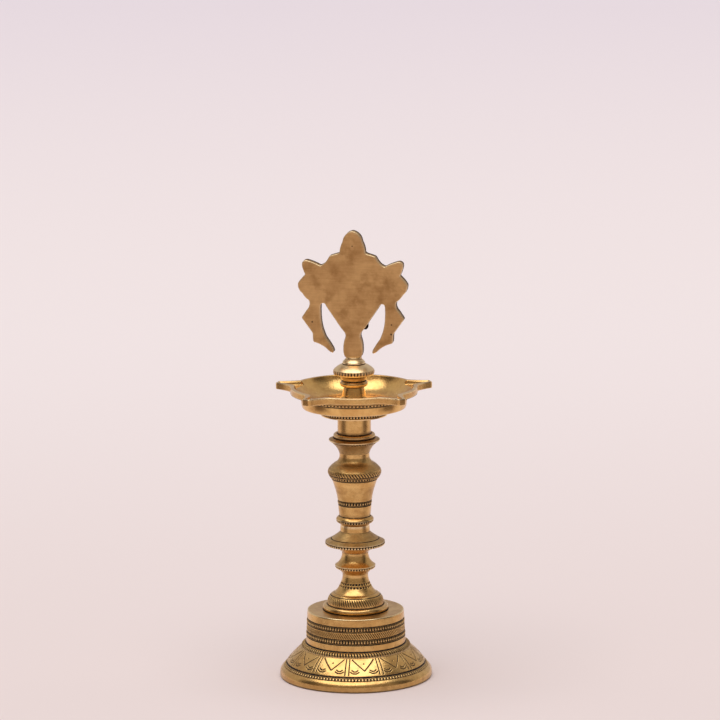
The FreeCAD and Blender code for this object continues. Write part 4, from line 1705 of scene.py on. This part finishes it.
    def ring_below_knob(self) -> None:
        """Builds the loose ring on the hub."""
        outline = Outline(self.bore, self.hub_top, [
            # The ring's faces that rest on the hub and carry the knob are darkened: painted shade between
            # the parts.
            Stretch(8.3, tarnish_and_shade=0.9),
            Stretch(8.3, 3.5, 0.30, edge=0.15, tarnish_and_shade=0.1),
            Stretch(self.bore, tarnish_and_shade=0.9),
            Stretch(self.bore, -3.5, edge=0.0),
        ])
        turned_skin(outline).piece("clamp_ring", TURNED_BRASS, Slot.TURNED, Body.DISH, "ring")


# Right half of the plaque's outline from its foot up to the middle of its top:
# (share of the half width, share of the height, bow of the stretch that ends there)
PLAQUE_SHARES = (
    (0.142, 0.000, 0.0), (0.176, 0.063, 0.08), (0.138, 0.158, 0.05), (0.167, 0.206, -0.14),
    (0.304, 0.288, 0.02), (0.487, 0.404, 0.0), (0.550, 0.428, -0.20), (0.590, 0.396, -0.20),
    (0.590, 0.316, -0.02), (0.554, 0.215, -0.03), (0.492, 0.146, -0.02), (0.394, 0.083, 0.02),
    (0.352, 0.042, 0.06), (0.384, 0.034, 0.30), (0.482, 0.066, 0.06), (0.725, 0.117, -0.06),
    (0.735, 0.186, 0.02), (0.938, 0.308, 0.0), (0.846, 0.368, 0.0), (0.797, 0.446, -0.15),
    (0.915, 0.500, 0.08), (1.000, 0.564, 0.12), (0.992, 0.588, 0.10), (0.862, 0.652, 0.03),
    (0.902, 0.690, 0.05), (0.922, 0.729, 0.06), (0.881, 0.760, 0.20), (0.810, 0.760, 0.12),
    (0.591, 0.721, 0.03), (0.501, 0.746, -0.05), (0.453, 0.773, 0.0), (0.417, 0.800, 0.03),
    (0.317, 0.815, 0.0), (0.233, 0.829, -0.06), (0.178, 0.915, 0.06), (0.000, 1.000, 0.17),
)

# Half outline of the conch, from its tail to its spire: (share of the half
# width, share of the length)
CONCH_SHARES = (
    (0.14, 0.000), (0.22, 0.060), (0.30, 0.180), (0.56, 0.300), (0.84, 0.410), (0.98, 0.510),
    (1.00, 0.590), (0.92, 0.670), (0.72, 0.725), (0.60, 0.740), (0.58, 0.800), (0.44, 0.840),
    (0.36, 0.850), (0.32, 0.905), (0.18, 0.940), (0.00, 1.000),
)


def inside_outline(points: Array, outline: Array) -> Array:
    """Tells which points lie inside an outline.

    Args:
        points: The points.
        outline: A closed outline.

    Returns:
        Whether each point is inside.
    """
    inside = np.zeros(len(points), bool)
    for (x1, z1), (x2, z2) in zip(outline, np.roll(outline, -1, axis=0)):
        crosses = (z1 > points[:, 1]) != (z2 > points[:, 1])
        slope = (x2 - x1) / (z2 - z1) if z1 != z2 else 0.0
        inside ^= crosses & (points[:, 0] < x1 + (points[:, 1] - z1) * slope)
    return inside


@dataclass
class Finial:
    """The knob and the cast plaque with its conch."""

    foot: float = 203.0
    hole: float = 3.06
    hole_depth: float = 9.6
    teeth: int = 39
    turned: float = -9.0

    plaque_foot: float = 219.5
    half_width: float = 36.9
    height: float = 85.5
    thickness: float = 7.0
    rounding: float = 0.45
    border: float = 0.5
    outline_step: float = 0.75
    back_step: float = 1.3
    front_step: float = 0.62
    ridge: float = 2.6
    ridge_height: float = 0.38

    conch_length: float = 52.0
    conch_half_width: float = 12.5
    conch_across: float = 8.0
    conch_level: float = 18.0
    conch_tilt: float = 16.0
    tail_share: float = 0.035
    whorls: float = 9.0
    flutes: float = 17.0

    def knob(self) -> None:
        """Builds the toothed knob."""
        outline = Outline(0.0, self.foot + self.hole_depth, [
            Stretch(self.hole),
            Stretch(self.hole, -self.hole_depth, edge=0.2),
            # The knob's foot, which rests on the ring, is darkened: painted shade between the parts.
            Stretch(7.8, edge=0.15, tarnish_and_shade=0.9),
            Stretch(7.8, 0.6, edge=0.15, tarnish_and_shade=0.8),
            Stretch(13.3, 4.0, -0.14, edge=0.2),
            Stretch(13.6, 3.2, 0.14, bands=(Lobes(0.7, 3.1, self.teeth, 0.9, samples=14),)),
            # The polish on the dome and collar is a painted highlight, together with wear from handling.
            Stretch(8.2, 3.8, 0.05, edge=0.15, polish_and_highlight=0.5),
            Stretch(7.3, edge=0.1),
            Stretch(7.3, 0.5, edge=0.1),
            Stretch(7.6, edge=0.1),
            Stretch(7.6, 0.8, edge=0.3, polish_and_highlight=0.4),
            Stretch(5.6, 2.0, 0.05, edge=0.3, polish_and_highlight=0.6),
            Stretch(5.3, 1.6, edge=0.3),
            Stretch(0.0),
        ])
        skin = turned_skin(outline, closed=False)
        skin.piece("knob_toothed", KNOB_BRASS_WORN_AND_PAINTED_BRIGHT, Slot.TURNED, Body.FINIAL, "knob")

    def outline_points(self) -> Array:
        """Gives the plaque's outline, counter-clockwise as it is seen from its back.

        Returns:
            How far right and how high above the plaque's foot each point lies.
        """
        half = np.array([point[:2] for point in PLAQUE_SHARES]) * (self.half_width, self.height)
        right = [half[0]]
        for start, end, (*_, bow) in zip(half, half[1:], PLAQUE_SHARES[1:]):
            count = max(3, math.ceil(float(np.hypot(*(end - start))) / self.outline_step))
            right += [bowed_point(start, end, bow, share) for share in np.linspace(0.0, 1.0, count + 1)[1:]]
        left = np.array(right[-2::-1]) * (-1.0, 1.0)
        foot = np.linspace(left[-1], right[0], 12)[1:-1]
        points = np.concatenate([right, left, foot])
        smoothed = (np.roll(points, 1, axis=0) + 2.0 * points + np.roll(points, -1, axis=0)) / 4.0
        smoothed[:, 1] = np.maximum(smoothed[:, 1], 0.0)
        return smoothed

    @staticmethod
    def inset(points: Array, depth: float) -> Array:
        """Moves an outline inwards.

        Args:
            points: The outline, counter-clockwise.
            depth: How far it moves.

        Returns:
            The moved outline.
        """
        along = np.roll(points, -1, axis=0) - np.roll(points, 1, axis=0)
        along /= np.maximum(np.hypot(along[:, 0], along[:, 1]), 1e-9)[:, None]
        return points + depth * np.stack([-along[:, 1], along[:, 0]], axis=1)

    def place(self, across: Array, along: Array, height: Array) -> Array:
        """Puts points of the upright plaque in the lamp's frame.

        Args:
            across: How far right each is, seen from the back.
            along: How far each is in front of the plaque's middle plane.
            height: How high each is above the plaque's foot.

        Returns:
            The points.
        """
        turned = math.radians(self.turned)
        x = across * math.cos(turned) - along * math.sin(turned)
        y = across * math.sin(turned) + along * math.cos(turned)
        return np.stack([x, y, height + self.plaque_foot], axis=1)

    def relief(self, points: Array, edge: Array) -> Relief:
        """Gives the front's chased ridges, which follow the outline, and their grime.

        Args:
            points: Places on the front.
            edge: The outline.

        Returns:
            The lift and the grime.
        """
        gap = np.array([np.min(np.hypot(*(edge - point).T)) for point in points])
        fade = smooth_step(gap, 8.5, 5.5) * smooth_step(gap, 0.5, 1.2)
        wave = np.cos(TURN * (gap - 1.6) / self.ridge)
        return self.ridge_height * wave * fade, smooth_step(-wave * fade, 0.2, 1.0)

    def face(self, skin: Skin, rim: Array, side: float, spacing: float, carved: bool) -> None:
        """Closes one face of the plaque.

        Args:
            skin: The skin to add to.
            rim: The numbers of the points round the face.
            side: The face's distance from the middle plane; the front's is positive.
            spacing: The spacing of the face's inner points.
            carved: Whether it has the front's relief.
        """
        edge = self.outline_points()
        border = self.inset(edge, self.border)
        x, z = np.meshgrid(np.arange(-self.half_width, self.half_width, spacing),
                           np.arange(0.0, self.height, spacing * 0.87))
        x[1::2] += spacing / 2.0
        inner = np.stack([x.ravel(), z.ravel()], axis=1)
        inner = inner[inside_outline(inner, self.inset(edge, self.border + 0.45 * spacing))]
        flat = [Vector(point) for point in np.concatenate([border, inner])]
        links = [(number, (number + 1) % len(border)) for number in range(len(border))]
        found = delaunay_2d_cdt(flat, links, [], 0, 1e-6, True)
        kept = np.array([tuple(point) for point in found[0]])
        lift, dirt_and_shade = np.zeros(len(inner)), np.zeros(len(inner))
        if carved:
            lift, dirt_and_shade = self.relief(inner, edge)
        swell = 0.07 * np.sin(inner[:, 0] * 0.21 + 1.0) * np.sin(inner[:, 1] * 0.17)
        swell = swell * smooth_step(np.abs(inner[:, 0]), 40.0, 20.0)
        along = (abs(side) + lift + swell) * math.copysign(1.0, side)
        numbers = skin.add(self.place(inner[:, 0], along, inner[:, 1]), dirt_and_shade, np.clip(lift * 2.0, 0.0, 1.0))
        own = np.concatenate([rim, numbers])
        beside = [int(np.argmin(np.hypot(*(border - point).T))) for point in kept]
        table = np.array([own[olds[0]] if olds else own[near] for olds, near in zip(found[3], beside)])
        corners = np.array(found[2])
        corners = corners[inside_outline(kept[corners].mean(axis=1), border)]
        triangles = table[corners]
        skin.faces.append(triangles[:, ::-1] if side > 0.0 else triangles)

    def plaque(self) -> None:
        """Builds the flat plaque with its rounded edge."""
        skin = Skin()
        edge = self.outline_points()
        half = self.thickness / 2.0
        rows = [(self.border, -half)]
        for turned in np.linspace(0.0, math.pi / 2.0, 5):
            inward, behind = 1.0 - math.sin(turned), 1.0 - math.cos(turned)
            rows.append((self.rounding * inward, -half + self.rounding * behind))
        rows += [(0.0, along) for along in (-1.4, 0.0, 1.4)]
        rows += [(inset, -along) for inset, along in reversed(rows[:6])]
        rings = []
        for inset, along in rows:
            points = self.inset(edge, inset)
            level = np.maximum(points[:, 1], 0.0)
            # The rounded edge is worn bright. The edge wall grows darker towards the front, which faces
            # away from the light: painted shade, together with patina.
            wear_and_sheen = 1.0 if 0.0 < inset < self.rounding else 0.1
            soil_and_shade = 0.15 + 0.8 * float(smooth_step(along, -1.0, 1.6)) if not inset else 0.0
            places = self.place(points[:, 0], np.full(len(points), along), level)
            rings.append(skin.add(places, soil_and_shade, wear_and_sheen))
        for back, front in zip(rings, rings[1:]):
            skin.bridge(front, back)
        self.face(skin, rings[0], -half, self.back_step, carved=False)
        self.face(skin, rings[-1], half, self.front_step, carved=True)
        skin.piece("plaque_plate", PLAQUE_BRASS, Slot.PLAQUE, Body.FINIAL, "plaque")

    def conch_radii(self, places: Array) -> Array:
        """Gives half the conch's width, rounded off at its tail.

        Args:
            places: Places along it, as shares of its length.

        Returns:
            Half its width at each place.
        """
        shares = np.array(CONCH_SHARES)
        widths = np.interp(places, shares[:, 1], shares[:, 0])
        widths = np.convolve(np.pad(widths, 2, mode="edge"), np.ones(5) / 5.0, mode="valid")
        tail = 1.0 - np.clip(1.0 - places / self.tail_share, 0.0, 1.0) ** 2
        widths = np.minimum(widths, 0.985) * np.sqrt(np.maximum(tail, 0.02))
        widths[-1] = 0.02
        return widths * self.conch_half_width

    def conch_ring(self, skin: Skin, place: float, radius: float) -> Array:
        """Adds one ring of the conch: its round front and its flat back.

        Args:
            skin: The skin to add to.
            place: The ring's place, as a share of the conch's length.
            radius: Half the conch's width there.

        Returns:
            The numbers of its points.
        """
        turned = np.linspace(0.0, math.pi, 61)
        spire = smooth_step(place, 0.55, 0.70)
        whorl = np.cos(TURN * place * self.whorls + turned * 0.9) * spire
        flute = np.cos(turned * self.flutes)
        flute = flute * smooth_step(place, 0.72, 0.55) * smooth_step(place, 0.02, 0.15)
        mouth = np.exp(-(((turned - 1.05) / 0.30) ** 2))
        mouth = mouth * smooth_step(place, 0.08, 0.22) * smooth_step(place, 0.66, 0.52)
        front = radius * (1.0 - 0.03 * (1.0 - whorl) - 0.01 * (1.0 - flute) - 0.26 * mouth)
        back = np.linspace(-1.0, 1.0, 14)[1:-1] * radius * 0.9
        across = np.concatenate([front * np.cos(turned), back])
        proud = np.concatenate([front * np.sin(turned), np.full(len(back), -0.6)]) + self.thickness / 2.0
        along, tilt = place * self.conch_length, math.radians(self.conch_tilt)
        x = self.conch_across - along * math.sin(tilt) + across * math.cos(tilt)
        z = self.conch_level + along * math.cos(tilt) + across * math.sin(tilt)
        # The conch is darkened in its mouth, whorls and flutes, a little all over, and most towards its
        # tail: patina in its hollows, together with painted shade, as the plaque's front lies in shade.
        dirt_and_shade = 0.8 * smooth_step(mouth, 0.3, 0.9) + 0.6 * smooth_step(-whorl, 0.5, 1.0) * spire
        dirt_and_shade = dirt_and_shade + 0.4 * smooth_step(-flute, 0.6, 1.0) + 0.25 + 0.7 * smooth_step(place, 0.35, 0.1)
        dirt_and_shade = np.clip(np.concatenate([dirt_and_shade, np.full(len(back), 0.95)]), 0.0, 1.0)
        return skin.add(self.place(x, proud, z), dirt_and_shade, 0.2)

    def conch(self) -> None:
        """Builds the conch on the plaque's front, with its whorls and its mouth."""
        skin = Skin()
        places = np.linspace(0.0, 1.0, 150)
        rings = [self.conch_ring(skin, *pair) for pair in zip(places, self.conch_radii(places))]
        for low, high in zip(rings, rings[1:]):
            skin.bridge(low, high)
        skin.cap(rings[0], turned=True)
        skin.cap(rings[-1], turned=False)
        skin.piece("plaque_conch", PLAQUE_BRASS, Slot.PLAQUE, Body.FINIAL, "plaque")


@dataclass
class Fixings:
    """The threaded studs, and the nut and washer under the foot's plate."""

    washer_foot: float = 40.9
    washer: float = 1.5
    washer_radius: float = 10.0
    nut: float = 6.0
    across_flats: float = 17.0
    bore: float = 5.06

    def stud(self, name: str, node: str, body: Body, radius: float, pitch: float) -> None:
        """Builds a threaded stud.

        Args:
            name: The piece's name.
            node: The CAD node that it stands for.
            body: The body that it rides on.
            radius: The thread's outer radius.
            pitch: The thread's pitch.
        """
        foot, top = level_of(node), level_of(node, top=True)
        chamfer = 0.15 * radius
        length = top - foot - 2.0 * chamfer
        thread = Thread(0.3, length - 0.3, depth=0.5 * pitch, pitch=pitch)
        outline = Outline(0.0, foot, [
            Stretch(radius - chamfer, edge=0.1),
            Stretch(radius, chamfer, edge=0.1),
            Stretch(radius, length, bands=(thread,), edge=0.1),
            Stretch(radius - chamfer, chamfer, edge=0.1),
            Stretch(0.0),
        ])
        turned_skin(outline, closed=False).piece(name, STEEL, Slot.STEEL, body, node)

    def nut_below(self) -> None:
        """Builds the hexagon nut with its turned chamfers."""
        apothem = self.across_flats / 2.0
        corner = apothem / math.cos(math.pi / 6.0)
        flats = Flats(0.05, self.nut - 1.05, apothem=apothem, step=0.5)
        slope = Flats(0.0, 1.1, apothem=apothem)
        outline = Outline(self.bore, self.washer_foot - self.nut, [
            Stretch(corner - 1.0, edge=0.0),
            Stretch(corner, 0.5, bands=(slope,), edge=0.0),
            Stretch(corner, self.nut - 1.0, bands=(flats,), edge=0.0),
            Stretch(corner - 1.0, 0.5, bands=(slope,), edge=0.0),
            Stretch(self.bore, edge=0.3),
            Stretch(self.bore, -self.nut, edge=0.0),
        ])
        turned_skin(outline).piece("nut_hexagon", STEEL, Slot.STEEL, Body.BASE, "base_nut")

    def washer_above(self) -> None:
        """Builds the washer."""
        outline = Outline(self.bore, self.washer_foot, [
            Stretch(self.washer_radius, edge=0.25),
            Stretch(self.washer_radius, self.washer, edge=0.25),
            Stretch(self.bore, edge=0.2),
            Stretch(self.bore, -self.washer, edge=0.0),
        ])
        turned_skin(outline).piece("washer_round", STEEL, Slot.STEEL, Body.BASE, "base_washer")


@dataclass
class Studio:
    """The floor, the light and the camera."""

    lens: float = 260.0
    sensor: float = 36.0
    pitch: float = 11.15
    roll: float = 0.42
    distance: float = 3.481
    aim: float = 0.21705
    aside: float = 0.0042

    floor_radius: float = 14.0
    floor_level: float = -0.00005
    backdrop: Color = (0.768, 0.68, 0.73)
    sky_above: float = 0.36
    sky_behind: Color = (1.0, 0.92, 0.87)
    sky_in_front: Color = (1.0, 0.83, 0.68)
    light: float = 2.05
    light_color: Color = (0.985, 0.99, 1.0)
    light_width: float = 68.0
    light_from: tuple[float, float, float] = (-0.10, -0.17, 1.0)

    def camera(self) -> None:
        """Puts the camera at the photograph's viewing angle."""
        pitch, roll = math.radians(self.pitch), math.radians(self.roll)
        back = Vector((0.0, -math.cos(pitch), math.sin(pitch)))
        right = Vector((1.0, 0.0, 0.0))
        up = back.cross(right)
        across = right * math.cos(roll) - up * math.sin(roll)
        upright = up * math.cos(roll) + right * math.sin(roll)
        data = bpy.data.cameras.new("camera")
        data.lens, data.sensor_width = self.lens, self.sensor
        data.clip_start, data.clip_end = 0.05, 60.0
        camera = bpy.data.objects.new("camera", data)
        place = Vector((self.aside, 0.0, self.aim)) + back * self.distance
        axes = Matrix((across, upright, back)).transposed().to_4x4()
        camera.matrix_world = Matrix.Translation(place) @ axes
        bpy.context.scene.collection.objects.link(camera)
        bpy.context.scene.camera = camera

    def floor(self) -> None:
        """Lays the floor."""
        mesh = bpy.data.meshes.new("floor")
        work = bmesh.new()
        bmesh.ops.create_circle(work, cap_ends=True, radius=self.floor_radius, segments=96)
        work.to_mesh(mesh)
        work.free()
        mesh.materials.append(FLOOR_PAINT.material())
        floor = bpy.data.objects.new("floor", mesh)
        floor.location.z = self.floor_level
        bpy.context.scene.collection.objects.link(floor)
        floor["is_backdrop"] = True

    def softbox(self) -> None:
        """Hangs the wide soft light overhead."""
        data = bpy.data.lights.new("softbox", "SUN")
        data.energy, data.angle = self.light, math.radians(self.light_width)
        data.color = self.light_color
        light = bpy.data.objects.new("softbox", data)
        light.location = self.light_from
        light.rotation_euler = (-Vector(self.light_from)).to_track_quat("-Z", "Y").to_euler()
        bpy.context.scene.collection.objects.link(light)

    def world(self) -> None:
        """Surrounds the lamp with a soft studio, brighter above, behind and in front than at its sides."""
        world = bpy.data.worlds.new("studio")
        world.use_nodes = True
        world.node_tree.nodes.clear()
        graph = Graph(world.node_tree)
        axes = graph.axes(graph.add("ShaderNodeTexCoord").outputs["Generated"])
        front = graph.frontness(axes)
        ahead = graph.spread(front, 0.20, 0.62, 0.07, 0.34)
        level = graph.math("ADD", ahead, graph.spread(front, -0.20, 0.02, 0.48, 0.0))
        high = graph.spread(axes["Z"], 0.62, 0.90)
        around = graph.times(level, graph.math("SUBTRACT", 1.0, high))
        strength = graph.math("ADD", around, graph.times(high, self.sky_above))
        warmth = graph.blend(graph.spread(front, 0.0, 0.5), self.sky_behind, self.sky_in_front)
        tint = graph.add("ShaderNodeBackground", {"Color": warmth, "Strength": strength})
        seen = graph.add("ShaderNodeBackground", {"Color": self.backdrop, "Strength": 1.0})
        camera_ray = graph.add("ShaderNodeLightPath").outputs["Is Camera Ray"]
        mixed = graph.add("ShaderNodeMixShader", {0: camera_ray, 1: tint.outputs[0], 2: seen.outputs[0]})
        graph.add("ShaderNodeOutputWorld", {"Surface": mixed.outputs[0]})
        bpy.context.scene.world = world


def main() -> None:
    """Builds the studio and every piece of the lamp."""
    logging.basicConfig(level=logging.INFO, format="%(message)s")
    bpy.context.scene.view_settings.view_transform = "Standard"
    studio = Studio()
    studio.camera()
    studio.floor()
    studio.softbox()
    studio.world()
    for build_effect in (build_alloy_tone, build_grime_shade_wear_and_sheen, build_turning_marks, build_casting_skin):
        build_effect()
    foot = Foot()
    foot.skirt()
    foot.drum()
    stem = Stem()
    stem.lower()
    stem.upper()
    dish = Dish()
    dish.top()
    dish.underside()
    dish.ring_below_knob()
    finial = Finial()
    finial.knob()
    finial.plaque()
    finial.conch()
    fixings = Fixings()
    fixings.stud("stem_thread", "stem_stud", Body.STEM_STUD, 4.0, 1.25)
    fixings.stud("finial_thread", "finial_stud", Body.FINIAL_STUD, 3.0, 1.0)
    fixings.nut_below()
    fixings.washer_above()


if __name__ == "__main__":
    main()
    boxes = {"cad": CAD_BOX, "visual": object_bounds()}
    {name: [list(corner) for corner in box] for name, box in boxes.items()}
